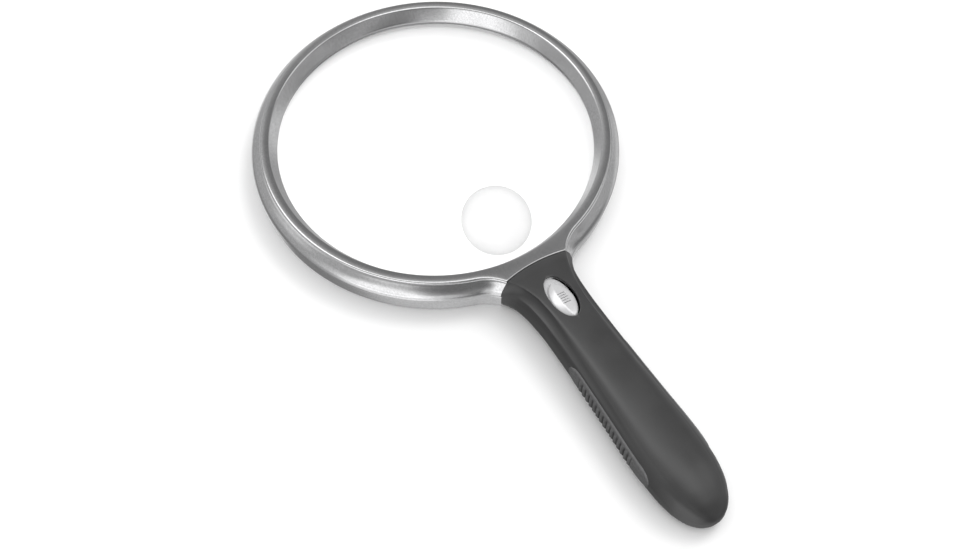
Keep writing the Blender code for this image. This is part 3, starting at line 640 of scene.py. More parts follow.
def rubber(name, base, rough=(0.6, 0.78), grain=0.3, height=0.02, ribs=False):
    """Matte moulded rubber: pale dusty bloom, pebbled surface. With ribs, the folds between them get painted
    shade.
    """
    m = Material(name)
    dust = m.noise(1.1, 4.0, 0.65)
    colour = m.blend(m.ramp(dust, 0.35, 0.7), grey(base * 0.82), grey(base * 1.2))
    colour = m.blend(m.worn_edges(0.8), colour, grey(base * 1.5))
    if ribs:
        # Painted shade in the folds between the ribs, fading out towards the top of the grip.
        length = RIB_REACH[1] - RIB_REACH[0]
        place = m.math("SUBTRACT", along(RIB_REACH[0]), m.axis("Y"))
        wave = m.math("ABSOLUTE", m.math("COSINE", m.times(place, math.pi / RIB_PITCH)))
        away = m.math("ABSOLUTE", m.math("SUBTRACT", place, length / 2))
        painted_fold_shade = m.times(m.span(wave, 1.0, 0.0, 0.3, 0.8), m.math("LESS_THAN", away, (length + RIB_PITCH) / 2))
        painted_fold_shade = m.times(painted_fold_shade, m.span(m.axis("Z"), 1.0, 0.0, 11.6, 13.2))
        colour = m.blend(m.times(painted_fold_shade, 0.7), colour, grey(base * 0.25))
    pebbles = m.span(m.cells(grain, feature="SMOOTH_F1"), 1.0, 0.0, 0.0, 0.6)
    return m.set(
        Base_Color=colour,
        Roughness=m.span(m.noise(0.7, 3.0), *rough),
        Normal=m.bump(pebbles, height, 0.5),
        Specular_IOR_Level=0.4,
    )


def clear_plastic(name, spot=None):
    """Polished clear acrylic with a trace of handling haze. Lamps and soft light pass straight through. With a
    spot colour, the spot gets painted shade, darker towards its rim.
    """
    m = Material(name)
    tint = (0.988, 0.988, 0.989)
    haze = m.span(m.noise(12.0, 4.0, 0.6), 0.0, 0.02, 0.45, 0.8)
    wave = m.bump(m.noise(25.0, 1.0), 0.002, 0.2)
    colour = m.blend(m.ramp(m.noise(30.0, 1.0), 0.4, 0.6), tint, tuple(v * 0.995 for v in tint))
    # Painted shade over the spot on the upper face: an even grey share and a share rising towards its rim.
    if spot:
        feeds = {
            "Vector": m.place,
            "Location": (0, along(SPOT_REACH), 0),
            "Rotation": (0, 0, math.radians(SPOT_TURN)),
            "Scale": (1, SPOT_STRETCH, 1),
        }
        centred = m.add("ShaderNodeMapping", feeds, vector_type="TEXTURE").outputs[0]
        away = m.vector("LENGTH", m.vector("MULTIPLY", centred, (1, 1, 0)), output="Value")
        share = m.ramp(away, 0.0, SPOT_RADIUS)
        upper = m.math("GREATER_THAN", m.axis("Z"), LENS_Z[1])
        inside = m.times(m.math("LESS_THAN", share, 1.0), upper)
        even, rising, power = SPOT_SHADE_SHARES
        rim_shade = m.times(m.math("POWER", share, power), inside)
        colour = m.blend(m.math("ADD", m.times(inside, even), m.times(rim_shade, rising)), colour, spot)
    m.set(Base_Color=colour, Transmission_Weight=1.0, Roughness=haze, Normal=wave, IOR=1.49)
    path = m.add("ShaderNodeLightPath").outputs
    return m.let_through(m.math("MAXIMUM", path["Is Shadow Ray"], path["Is Diffuse Ray"]))


def metal(name, colour, rough=(0.22, 0.34), stretch=(1.0, 0.05, 1.0)):
    """Plated steel with fine drawn lines and small dull spots."""
    m = Material(name)
    dull = m.noise(1.5, 4.0, 0.6)
    base = m.blend(m.ramp(dull, 0.45, 0.75), colour, tuple(v * 0.7 for v in colour))
    normal = m.bump(m.noise(0.09, 2.0, 0.5, stretch), 0.004, 0.4)
    return m.set(Base_Color=base, Metallic=1.0, Roughness=m.span(dull, *rough), Normal=normal)


def moulded(name, colour, rough=(0.32, 0.45)):
    """Plain moulded plastic with a fine spark-eroded grain."""
    m = Material(name)
    cloud = m.ramp(m.noise(3.0, 3.0), 0.3, 0.7)
    base = m.blend(cloud, tuple(v * 0.85 for v in colour), colour)
    normal = m.bump(m.noise(0.14), 0.008, 0.5)
    return m.set(Base_Color=base, Roughness=m.span(m.noise(0.6), *rough), Normal=normal)


def board_green():
    """Solder mask with paler copper lanes under it."""
    m = Material("green_board")
    feeds = {"Vector": m.place, "Scale": 0.9, "Mortar Size": 0.14, "Mortar Smooth": 0.1}
    feeds.update(Color1=(0, 0, 0), Color2=(0, 0, 0), Mortar=(1, 1, 1))
    lanes = m.add("ShaderNodeTexBrick", feeds).outputs["Color"]
    colour = m.blend(lanes, (0.02, 0.12, 0.05), (0.05, 0.22, 0.1))
    rough = m.span(m.noise(0.8), 0.25, 0.4)
    return m.set(Base_Color=colour, Roughness=rough, Normal=m.bump(lanes, 0.03, 0.6))


def cell_jacket():
    """A plain printed sleeve in two tones with a bare metal end at the front."""
    m = Material("cell_jacket")
    first, last = CELL_BAND_END
    middle = m.ramp(m.axis("Y"), along(last), along(first))
    scuffs = m.span(m.noise(0.8, 5.0, 0.7, (0.25, 1.0, 1.0)), 0.0, 0.5, 0.55, 0.75)
    colour = m.blend(middle, (0.05, 0.16, 0.09), (0.55, 0.42, 0.16))
    return m.set(
        Base_Color=m.blend(scuffs, colour, (0.35, 0.36, 0.34)),
        Metallic=m.span(middle, 0.15, 0.8),
        Roughness=m.span(m.noise(1.0, 3.0), 0.2, 0.38),
        Normal=m.bump(m.noise(0.5), 0.006, 0.4),
    )


def lamp_epoxy():
    """A cast lamp: milky clear epoxy over a small yellow phosphor."""
    m = Material("lamp")
    return m.set(
        Base_Color=m.blend(m.ramp(m.cells(1.4), 0.1, 0.6), (0.95, 0.8, 0.35), (0.85, 0.87, 0.82)),
        Roughness=m.span(m.noise(0.5), 0.06, 0.16),
        Transmission_Weight=0.35,
        Normal=m.bump(m.noise(0.6, 1.0), 0.004, 0.3),
    )


# The finish of each slot. The lens has its own, with the spot's painted shade in it.
FINISHES = {
    "satin_silver": satin_silver(),
    "bright_silver": bright_silver(),
    "soft_touch_charcoal": soft_touch(),
    "grip_rubber": rubber("grip_rubber", 0.165, ribs=True),
    "black_rubber": rubber("black_rubber", 0.02, (0.5, 0.7), 0.2, 0.01),
    "clear_plastic": clear_plastic("clear_plastic"),
    "nickel": metal("nickel", (0.66, 0.63, 0.56)),
    "steel_screw": metal("steel_screw", (0.5, 0.5, 0.51), (0.25, 0.42), (1.0, 1.0, 0.2)),
    "green_board": board_green(),
    "black_plastic": moulded("black_plastic", (0.03, 0.03, 0.031)),
    "red_wire": moulded("red_wire", (0.5, 0.03, 0.02), (0.35, 0.5)),
    "cell_jacket": cell_jacket(),
    "lamp": lamp_epoxy(),
}
LENS_CLEAR = clear_plastic("lens_acrylic", SPOT_PAINTED_SHADE)


# ---- frame and neck


def neck_end(x):
    """Reach of the neck's end face at x."""
    return NECK_REACH + NECK_BULGE * x * x


def circle(turns):
    return np.column_stack([np.cos(turns), np.sin(turns)])


def frame_outline(radius, neck_half, drawn_in=0):
    """Outer outline of the frame at one level: ring, concave fillets and the neck's end face."""
    corner = np.array([neck_half, drawn_in - neck_end(neck_half)])
    reach = np.linalg.norm(corner)
    away = ((radius + FILLET_RADIUS) ** 2 - FILLET_RADIUS**2 + reach**2) / (2 * reach)
    aside = math.sqrt((radius + FILLET_RADIUS) ** 2 - away**2)
    unit = corner / reach
    centre = unit * away + np.array([-unit[1], unit[0]]) * aside
    tangent = math.atan2(centre[1], centre[0])
    ring = radius * circle(np.linspace(tangent, math.pi - tangent, RING_STATIONS))
    first = tangent + math.pi
    last = math.atan2(corner[1] - centre[1], corner[0] - centre[0]) % (2 * math.pi)
    turns = np.linspace(first, last, FILLET_STATIONS + 1)[1:]
    right = centre + FILLET_RADIUS * circle(turns)
    ends = np.linspace(-neck_half, neck_half, END_STATIONS + 1)[1:-1]
    end = np.column_stack([ends, drawn_in - neck_end(ends)])
    return np.vstack([ring, right * (-1, 1), end, right[::-1]])


def rim(name, outer, inner, guide):
    """One half of the frame: outer levels (radius, neck, z, drawn in), then round inner ones (radius, z)."""
    reference = frame_outline(*guide)
    spokes = circle(np.arctan2(reference[:, 1], reference[:, 0]))
    levels = [(frame_outline(radius, neck_half, drawn_in), z) for radius, neck_half, z, drawn_in in outer]
    levels += [(radius * spokes, z) for radius, z in inner]
    loops = [np.column_stack([flat + (0, CENTRE_Y), np.full(len(flat), z)]) for flat, z in levels]
    return mesh_piece(name, loops, 30, caps=False)


def finish_rim(made, node, z):
    """Adds the two prongs that run into the handle, each with a hole for its neck screw."""
    for side in (-1, 1):
        fuse(made, side_block(side, PRONG_X, PRONG_REACH, z))
    for side in (-1, 1):
        hole = [(NECK_HOLE, 0), (NECK_HOLE, z[1] - z[0] + 2)]
        cut(made, pin("hole", side * NECK_SCREW[0], NECK_SCREW[1], z[0] - 1, hole, 24))
    shade(made)
    put(made, node, "satin_silver")
    made.visible_glossy = False


def make_front_rim():
    inner = rounded_profile(FRONT_INSIDE, 0.35)
    outer = [*through(FRONT_OUTSIDE, 4), FRONT_FLAT]
    made = rim("front_rim_fine", outer, [*inner, *FRONT_GROOVE], FRONT_FLAT[:2])
    finish_rim(made, "front_rim", (8.65, 11.6))


def make_rear_rim():
    inner = rounded_profile(REAR_INSIDE, 0.35)
    outer = through(REAR_OUTSIDE, 4)
    made = rim("rear_rim_fine", outer, [*inner, *REAR_TONGUE], REAR_OUTSIDE[-1][:2])
    cut(made, block("pocket", (-8.5, 8.5), (69.0, 77.2), (-1.0, 5.6)))
    cut(made, block("channel", (-2.2, 2.2), (76.5, 80.0), (3.9, 5.6)))
    finish_rim(made, "rear_rim", (5.2, 8.35))


def make_lens():
    """A thick double-convex lens with a round high-power spot that swells from its upper face."""
    bend = (LENS_RADIUS**2 + LENS_CROWN**2) / (2 * LENS_CROWN)
    share = np.sin(np.linspace(0, math.pi / 2, 30))[1:]
    drop = [bend - math.sqrt(bend**2 - (LENS_RADIUS * s) ** 2) for s in share]
    top = [(LENS_RADIUS * s, LENS_Z[1] + LENS_CROWN - d) for s, d in zip(share, drop)]
    bottom = [(LENS_RADIUS * s, LENS_Z[0] - LENS_CROWN + d) for s, d in zip(share, drop)][::-1]
    profile = [(0.0, LENS_Z[1] + LENS_CROWN), *top, *bottom, (0.0, LENS_Z[0] - LENS_CROWN)]
    made = turned("lens_fine", profile, (0, CENTRE_Y, 0), UP, 160, 40)
    tilt = math.asin(SPOT_REACH / bend)
    rim_drop = bend - math.sqrt(bend**2 - SPOT_RADIUS**2)
    share = np.sin(np.linspace(0, math.pi / 2, 24))
    tight = (SPOT_RADIUS**2 + SPOT_RISE**2) / (2 * SPOT_RISE)
    radii = [SPOT_RADIUS * s for s in share]
    dome = [(r, math.sqrt(tight**2 - r**2) - tight + SPOT_RISE - rim_drop) for r in radii]
    edge = (SPOT_RADIUS + 0.2, -rim_drop - 0.12)
    profile = [*dome, edge, SPOT_ROOT, (0.0, SPOT_ROOT[1])]
    place = (0, along(SPOT_REACH), LENS_Z[1] + LENS_CROWN - bend + bend * math.cos(tilt))
    spot = turned("spot", profile, place, (0, -math.sin(tilt), math.cos(tilt)), 96, 60)
    turn = Matrix.Rotation(math.radians(SPOT_TURN), 4, "Z")
    middle = Matrix.Translation((0, along(SPOT_REACH) * MM, 0))
    stretch = Matrix.Diagonal((1, SPOT_STRETCH, 1, 1))
    spot.data.transform(middle @ turn @ stretch @ turn.inverted() @ middle.inverted())
    fuse(made, spot)
    shade(made, 12)
    put(made, "lens", "clear_plastic", material=LENS_CLEAR)
    made.visible_glossy = False


def make_gasket():
    """The thin seal between the lens and the frame's lip."""
    (middle, level), (half, tall) = SEAL_MIDDLE, SEAL_HALF
    section = [(middle + half * math.cos(a), level + tall * math.sin(a)) for a in full_turn(12)]
    rings = [[(r * math.cos(t), CENTRE_Y + r * math.sin(t), z) for r, z in section] for t in full_turn(180)]
    put(mesh_piece("lens_gasket_fine", rings, caps=False), "lens_gasket", "black_rubber")


# ---- handle


def lines_at(reach):
    return [float(smooth_values(HANDLE_LINES[:, 0], HANDLE_LINES[:, c], reach)) for c in range(1, 9)]


def half_section(reach):
    """The right half of the handle's section, from the middle of the top to the middle of the underside."""
    half, crease, crease_z, top, band, band_z, hollow, floor = lines_at(reach)
    t = np.linspace(0, 1, TOP_STEPS, endpoint=False)
    panel = np.column_stack([crease * t, top - (top - crease_z) * t**2.25])
    run = math.hypot(band - crease, crease_z - band_z)
    inward = np.array([-(crease_z - band_z), -(band - crease)]) / run
    t = np.linspace(0, 1, FLANK_STEPS, endpoint=False)
    straight = np.outer(1 - t, (crease, crease_z)) + np.outer(t, (band, band_z))
    flank = straight + np.outer(4 * t * (1 - t) * hollow, inward)
    inset = min(1.0, half / 12.0)
    widest = min(HANDLE_MIDDLE + 0.5, floor + 0.7 * (band_z - floor))
    corners = [(0.0, 1.0), (0.1, 0.58), (0.75, 0.31), (1.9, 0.09), (3.5, 0.0)]
    lower = [(half - away * inset, floor + share * (widest - floor)) for away, share in corners]
    side = through([(band, band_z), lower[0]], BAND_STEPS)[:-1]
    side[:, 0] += 0.25 * inset * np.sin(np.linspace(0, math.pi, BAND_STEPS, endpoint=False))
    under = through(lower, LOW_STEPS)
    flat = np.column_stack([np.linspace(under[-1][0], 0, 7)[1:], np.full(6, floor)])
    return np.vstack([panel, flank, side, under, flat])


def section_at(reach):
    """The whole section as a ring, with its crease and band edge rounded off."""
    half = half_section(reach)
    ring = np.vstack([half, half[1:-1][::-1] * (-1, 1)])
    crease, band = (float(np.interp(reach, HANDLE_SOFT[:, 0], HANDLE_SOFT[:, c])) for c in (1, 2))
    size = min(1.0, half[:, 0].max() / 11.0)
    count = len(half)
    spread = np.full(count, 0.12)
    spread[: TOP_STEPS + FLANK_STEPS // 2] = crease
    spread[TOP_STEPS + FLANK_STEPS // 2 : TOP_STEPS + FLANK_STEPS + BAND_STEPS] = band
    ease = np.convolve(np.pad(spread, 3, mode="edge"), np.ones(7) / 7, mode="valid") * size
    spread = np.concatenate([ease, ease[1:-1][::-1]])
    step = np.linalg.norm(np.roll(ring, -1, axis=0) - ring, axis=1)
    place = np.concatenate([[0], np.cumsum(step)[:-1]])
    length = step.sum()
    weight = (step + np.roll(step, 1)) / 2
    apart = np.abs(place[:, None] - place[None, :])
    apart = np.minimum(apart, length - apart)
    share = np.exp(-((apart / spread[:, None]) ** 2) / 2) * weight[None, :]
    made = (share @ ring) / share.sum(axis=1)[:, None]
    fade = np.clip((ring[:, 1] - 1.2) / 2.5, 0, 1)[:, None]
    return ring * (1 - fade) + made * fade


def narrowed(ring, wall):
    """A section drawn in towards its middle, so that it leaves the wall's thickness all round."""
    top, floor, half = ring[:, 1].max(), ring[:, 1].min(), ring[:, 0].max()
    above, below = top - HANDLE_MIDDLE, HANDLE_MIDDLE - floor
    height = ring[:, 1] - HANDLE_MIDDLE
    share = np.where(height > 0, (above - wall) / above, (below - wall) / below)
    return np.column_stack([ring[:, 0] * (half - wall) / half, HANDLE_MIDDLE + height * share])


def placed(ring, reach):
    """The section at its place along the handle. Near the neck it bends to follow the neck's end face."""
    fade = np.clip((92.0 - reach) / (92.0 - HANDLE_START), 0.0, 1.0)
    bend = NECK_BULGE * ring[:, 0] ** 2 * fade
    return np.column_stack([ring[:, 0], CENTRE_Y - reach - bend, ring[:, 1]])


def handle_body(name):
    """The whole handle's outer shape, solid."""
    parts = ((HANDLE_START, 108, 40), (108, 180, 44), (180, 200, 26), (200, 203.9, 14))
    stations = [reach for part in parts for reach in np.linspace(*part, endpoint=False)]
    stations += [203.9, 204.1, 204.25, 204.35, 204.42]
    rings = [placed(section_at(reach), reach) for reach in stations]
    tip = np.array([0.0, along(BUTT_REACH), BUTT_HEIGHT])
    rings.append(tip + (rings[-1] - rings[-1].mean(0)) * (0.5, 0, 0.5))
    return mesh_piece(name, rings, 30)


def handle_hollow():
    """The space inside the handle, open at the neck."""
    stations = [76.0, 78.6, 81, 84, 87, 91, 95, 100, 106, 112, 120]
    stations += [130, 140, 150, 160, 170, 178, 184, 189, 193, 196, 198.5]
    rings = []
    for reach in stations:
        lead = 2.0 * np.clip((reach - 180) / 15, 0, 1)
        outside = min(max(reach, HANDLE_START) + lead, 201.0)
        rings.append(placed(narrowed(section_at(outside), HANDLE_WALL), reach))
    return mesh_piece("hollow", rings)


def oval_ring(half, centre_reach, level, sides):
    ring = circle(full_turn(sides)) * half
    return np.column_stack([ring[:, 0], along(centre_reach) + ring[:, 1], np.full(sides, level)])


def boss(target, x, reach, z, radius=BOSS_RADIUS):
    """A screw boss inside a shell, with a blind hole from below."""
    tall = z[1] - z[0]
    fuse(target, pin("boss", x, reach, z[0], [(radius, 0), (radius, tall)], 28))
    cut(target, pin("hole", x, reach, z[0] - 1, [(SCREW_HOLE, 0), (SCREW_HOLE, tall - 1)], 24))


def bulkhead(reach):
    """A wall across the inside of the handle. Its edge runs into the middle of the shell's wall."""
    rings = []
    for place in reach:
        inside = narrowed(section_at(place), HANDLE_WALL / 2)
        inside[:, 1] = np.maximum(inside[:, 1], 4.0)
        rings.append(placed(inside, place))
    return mesh_piece("bulkhead", rings)


def side_x(reach, z):
    """Half width of the handle at heights on its side."""
    ring = section_at(reach)[: TOP_STEPS + FLANK_STEPS + BAND_STEPS + 4 * LOW_STEPS + 1]
    band = ring[TOP_STEPS + FLANK_STEPS // 2 :][::-1]
    return np.interp(z, band[:, 1], band[:, 0])


def grip_outline(reach):
    """Lower and upper edge of the grip at a reach, with round ends."""
    top = lines_at(reach)[5] - 0.9
    middle, half = (GRIP_BOTTOM + top) / 2, (top - GRIP_BOTTOM) / 2
    from_end = min(max(min(reach - GRIP_REACH[0], GRIP_REACH[1] - reach), 0.0), GRIP_ROUND_END)
    share = math.sqrt(max(0.0, 1 - (1 - from_end / GRIP_ROUND_END) ** 2))
    return middle - half * share, middle + half * share


def grip(name, side, grow):
    """A ribbed grip inlay, or with grow the recess that holds it."""
    first, last = GRIP_REACH[0] - grow, GRIP_REACH[1] + grow
    ends = GRIP_ROUND_END * (1 - np.cos(np.linspace(0.03, math.pi / 2, 16)))
    between = np.arange(first + 6.2, last - 6.2, 1.5 if grow else 0.2)
    stations = [*(first + ends), *between, *(last - ends[::-1])]
    across = np.linspace(0, 1, 19)
    rings = []
    for reach in stations:
        low, high = grip_outline(min(max(reach, GRIP_REACH[0] + 0.01), GRIP_REACH[1] - 0.01))
        low, high = low - grow, high + grow
        z = low + (high - low) * across
        skin = side_x(reach, z)
        if grow:
            outer = skin + 2.0
        else:
            edge = np.clip(np.minimum(across, 1 - across) * (high - low) / GRIP_EDGE, 0, 1)
            round_over = GRIP_EDGE * (1 - np.sqrt(np.clip(1 - (1 - edge) ** 2, 0, 1)))
            wave = abs(math.cos(math.pi * (reach - RIB_REACH[0]) / RIB_PITCH)) ** 0.7
            inside = np.clip((reach - RIB_REACH[0] + RIB_PITCH / 2) / 0.5, 0, 1)
            inside *= np.clip((RIB_REACH[1] + RIB_PITCH / 2 - reach) / 0.5, 0, 1)
            height = z - low
            upright = np.clip((0.78 * (high - low) - height) / 1.2, 0, 1)
            rib = (1.05 * wave - 0.7) * inside * (upright * np.clip((height - 0.3) / 0.5, 0, 1))
            outer = skin + GRIP_PROUD - round_over + rib
        ring = [*zip(outer, z), *zip(skin[::-6] - (GRIP_DEEP + grow), z[::-6])]
        rings.append([(side * x, along(reach), level) for x, level in ring])
    return mesh_piece(name, rings, 40)


def make_handle_upper():
    made = handle_body("handle_upper_fine")
    cut(made, handle_hollow())
    cut(made, block("below", (-30, 30), (70, 215), (-5, HANDLE_PARTING + 0.1)))
    for side in (-1, 1):
        fuse(made, side_block(side, (NECK_SCREW[0], 11.2), (89.0, 91.0), (12.0, 14.6)))
        fuse(made, side_block(side, (SHELL_SCREW[0], 11.0), (121.0, 123.0), (4.5, 14.0)))
        boss(made, side * NECK_SCREW[0], NECK_SCREW[1], (11.9, 16.7))
        boss(made, side * SHELL_SCREW[0], SHELL_SCREW[1], (HANDLE_PARTING + 0.2, 15.5))
    for reach in INSIDE_SCREWS:
        boss(made, 0.0, reach, (11.5, 19.3), INSIDE_BOSS_RADIUS)
    for reach in ((136.6, 137.8), (189.3, 190.6)):
        fuse(made, bulkhead(reach))
    for side in (-1, 1):
        cut(made, side_block(side, (2.4, 4.9), (135.5, 139.0), (11.2, 12.5)))
    wide = (OVAL_HALF[0] + 1.6, OVAL_HALF[1] + 1.6)
    levels = ((OVAL_HALF, 15.0), (OVAL_HALF, 19.85), (wide, 22.0))
    cone = [oval_ring(half, OVAL_REACH, z, 96) for half, z in levels]
    cut(made, mesh_piece("opening", cone))
    room = (PLATE_REACH[0] - SWITCH_TRAVEL - 0.8, PLATE_REACH[1] + 0.7)
    cut(made, block("room", (-7.0, 7.0), room, (15.2, OVAL_CEILING)))
    for side in (-1, 1):
        cut(made, grip("recess", side, 0.22))
    shade(made)
    even_normals(made)
    put(made, "handle_upper", "soft_touch_charcoal")


def make_handle_lower():
    made = handle_body("handle_lower_fine")
    limits = block("limits", (-20, 20), (70.0, DOOR_REACH[1]), (-1.0, HANDLE_PARTING - 0.1))
    combine(made, limits, "INTERSECT")
    start = DOOR_REACH[0] - 0.2
    half = DOOR_HALF + 0.2
    cut(made, block("slot", (-half, half), (start, 200), (-2, 6)))
    half = DOOR_HALF + 1.0
    tongue = (DOOR_TONGUE[0] - 0.3, DOOR_TONGUE[1] + 0.3)
    cut(made, block("groove", (-half, half), (start - 1.2, 200), tongue))
    for side in (-1, 1):
        post = [(BOSS_RADIUS, 0), (BOSS_RADIUS, 2.9)]
        fuse(made, pin("post", side * NECK_SCREW[0], NECK_SCREW[1], 2.0, post, 32))
    seat = [(HEAD_SEAT, 0), (HEAD_SEAT, 0.98), (BOSS_RADIUS, 1.35), (BOSS_RADIUS, 2.4)]
    seat += [(SCREW_HOLE, 2.4), (SCREW_HOLE, 8)]
    for side in (-1, 1):
        for x, reach in (NECK_SCREW, SHELL_SCREW):
            cut(made, pin("seat", side * x, reach, -1.0, seat, 32))
    shade(made)
    put(made, "handle_lower", "soft_touch_charcoal")


def make_battery_door():
    made = handle_body("battery_door_fine")
    combine(made, block("limits", (-20, 20), (DOOR_REACH[0], 215), (-1.0, DOOR_TOP)), "INTERSECT")
    for side in (-1, 1):
        cut(made, side_block(side, (DOOR_HALF, 20), (DOOR_REACH[0] - 1, DOOR_REACH[1] + 0.2), (-2, 6)))
    half = DOOR_HALF + 0.7
    fuse(made, block("tongue", (-half, half), (DOOR_REACH[0] - 0.9, DOOR_REACH[1] - 1.5), DOOR_TONGUE))
    for reach in DOOR_GROOVES:
        cut(made, rounded_block("groove", (-5.5, 5.5), (reach, reach + 1.0), (-1, 0.5), 0.35))
    shade(made)
    put(made, "battery_door", "soft_touch_charcoal", body="door")


def make_grips():
    for side, name in ((-1, "grip_left"), (1, "grip_right")):
        put(grip(f"{name}_fine", side, 0.0), name, "grip_rubber")


# ---- switch


def dome_half(reach):
    """Half width of the thumb piece, which stays inside the opening at both ends of its travel."""
    away = max(abs(reach - OVAL_REACH), abs(reach - OVAL_REACH - SWITCH_TRAVEL))
    return max(0.5, OVAL_HALF[0] * math.sqrt(max(0.0, 1 - (away / OVAL_HALF[1]) ** 2)) - DOME_CLEAR)


def switch_dome():
    """The petal-shaped thumb piece: steep on the left, gentle on the right, with grooves across its ridge."""
    low, high = OVAL_REACH - OVAL_HALF[1] + SWITCH_TRAVEL + 0.12, OVAL_REACH + OVAL_HALF[1] - 0.12
    middle, length = (low + high) / 2, (high - low) / 2
    ends = middle + np.sin(np.linspace(-math.pi / 2, math.pi / 2, 31))[1:-1] * length
    grooved = np.arange(middle - 4.4, middle + 4.4, 0.1)
    outside = [reach for reach in ends if not grooved[0] < reach < grooved[-1]]
    rings = []
    for reach in sorted([low + 0.02, *outside, *grooved, high - 0.02]):
        share = (reach - middle) / length
        half = dome_half(reach)
        rise = DOME_RISE * (1 - share**2) ** 0.5
        x = half * np.sin(np.linspace(-math.pi / 2, math.pi / 2, 33))
        x = np.where(x > 0, x * (half - DOME_GAP) / half, x)
        ridge = -0.32 * half
        left = rise * np.clip((x + half) / (ridge + half), 0, None) ** 0.8
        right = rise * np.clip((x[-1] - x) / (x[-1] - ridge), 0, None) ** 0.55
        soft = 0.05 * rise + 0.01
        top = DOME_EDGE - soft * np.log(np.exp(-left / soft) + np.exp(-right / soft))
        top = np.maximum(top, DOME_EDGE)
        place = reach - GROOVE_REACH
        depth = max(0.0, math.cos(2 * math.pi * place / GROOVE_PITCH)) ** 6 * (abs(place) < GROOVE_RUN)
        across = np.clip((x - GROOVE_X[0]) / 0.35, 0, 1) * np.clip((GROOVE_X[1] - x) / 0.35, 0, 1)
        top = top - 0.85 * depth * across
        section = [*zip(x, top), (x[-1], PLATE_Z[1] - 0.3), (-half, PLATE_Z[1] - 0.3)]
        rings.append([(a, along(reach), z) for a, z in section])
    return mesh_piece("dome", rings)


def make_switch():
    """The sliding plate with its thumb piece and the two tines that drive the switch inside."""
    plate = rounded_block("switch_slider_fine", (-6.4, 6.4), PLATE_REACH, PLATE_Z, 0.25)
    rings = []
    for reach in np.linspace(OVAL_REACH - MOAT_HALF, OVAL_REACH + MOAT_HALF, 49):
        wall = OVAL_HALF[0] * math.sqrt(1 - ((reach - OVAL_REACH) / OVAL_HALF[1]) ** 2)
        low, high = wall - DOME_GAP - DOME_CLEAR, wall + 0.5
        section = zip((low, high, high, low), (MOAT_Z[0], MOAT_Z[0], MOAT_Z[1], MOAT_Z[1]))
        rings.append([(x, along(reach), z) for x, z in section])
    cut(plate, mesh_piece("moat", rings))
    fuse(plate, switch_dome())
    for gap in ((LEVER_REACH - 3.4, LEVER_REACH - 1.4), (LEVER_REACH + 1.4, LEVER_REACH + 3.4)):
        fuse(plate, block("tine", (-LEVER_X, LEVER_X), gap, (14.9, PLATE_Z[0] + 0.3)))
    shade(plate, 32)
    even_normals(plate)
    put(plate, "switch_slider", "bright_silver", body="switch")


# ---- screws, lamps and inside


def make_screws():
    for side, word in ((-1, "left"), (1, "right")):
        for (x, reach), kind, tip in ((NECK_SCREW, "neck_screw", 14.3), (SHELL_SCREW, "handle_screw", 13.0)):
            thread = []
            for z in np.arange(1.4, tip - 1.0, THREAD_PITCH):
                thread += [(THREAD[0], z), (THREAD[1], z + 0.22)]
            profile = [*HEAD, (THREAD[1], HEAD[-1][1]), *thread, (0.7, tip - 0.6), (0.0, tip)]
            made = pin(f"{kind}_{word}_fine", side * x, reach, 0, profile, 28)
            for a, b in (CROSS, CROSS[::-1]):
                cut(made, block("slot", (side * x - a, side * x + a), (reach - b, reach + b), (-1.0, 0.75)))
            shade(made, 35)
            put(made, f"{kind}_{word}", "steel_screw")


def make_lamps():
    """The window under the neck and the two lamps behind it."""
    section = rounded_profile(WINDOW, 0.25, 4)
    rings = [[(x, along(reach), z) for reach, z in section] for x in np.linspace(-8.2, 8.2, 9)]
    put(mesh_piece("led_window_fine", rings), "led_window", "clear_plastic")
    radius, tall = LED_DOME
    dome = [(radius * math.cos(a), 3.7 - tall * math.sin(a)) for a in np.linspace(math.pi / 2, 0, 12)]
    for side, name in ((-1, "led_left"), (1, "led_right")):
        x = (side * LED_X - 1.5, side * LED_X + 1.5)
        made = rounded_block(f"{name}_fine", x, (73.7, 76.5), (3.5, 4.3), 0.15)
        fuse(made, pin("cap", side * LED_X, LED_REACH, 0, dome, 32))
        shade(made, 35)
        put(made, name, "lamp")


def make_cells():
    """Two cells, nose to tail. Each has a crimped end and a button."""
    wide, end = CELL_RADIUS, CELL_LENGTH
    profile = [(0.0, 0.0), (1.9, 0.0), (1.9, 0.9), (wide - 0.6, 1.0), (wide - 0.1, 1.3), (wide, 1.9)]
    profile += [(wide, 42.9), (wide - 0.25, 43.2), (wide - 0.05, 43.7), (wide - 0.4, end), (0.0, end)]
    profile = rounded_profile(profile, 0.25, 4)
    for side, name, start in ((-1, "battery_left", CELL_FRONT), (1, "battery_right", CELL_BACK)):
        place = (side * CELL_OFFSET, along(start), CELL_Z)
        made = turned(f"{name}_fine", profile, place, (0, side, 0), 64)
        put(made, name, "cell_jacket")


def make_springs():
    """A short coil behind each cell's flat end."""
    for name, x, low, high in (
        ("negative_spring", CELL_OFFSET, 140.1, CELL_BACK - CELL_LENGTH - 0.3),
        ("bridge_spring", -CELL_OFFSET, CELL_FRONT + CELL_LENGTH + 0.3, BRIDGE_REACH - 0.3),
    ):
        rings = []
        for t in np.linspace(0, 1, 91):
            turn = 2 * math.pi * SPRING_TURNS * t
            outward = np.array([math.cos(turn), 0, math.sin(turn)])
            reach = low + SPRING_WIRE + (high - low - 2 * SPRING_WIRE) * t
            place = np.array([x, along(reach), CELL_Z]) + SPRING_RADIUS * outward
            rings.append(place + SPRING_WIRE * around(full_turn(10), outward, (0, 1, 0)))
        put(mesh_piece(f"{name}_fine", rings), name, "nickel")


def make_wires():
    for side, name, slot in ((-1, "wire_black", "black_rubber"), (1, "wire_red", "red_wire")):
        route = [(side * WIRE_X, along(reach), z) for reach, z in through(WIRE_ROUTE, 5)]
        made = mesh_piece(f"{name}_fine", tube(route, WIRE_RADIUS, 16))
        put(made, name, slot)


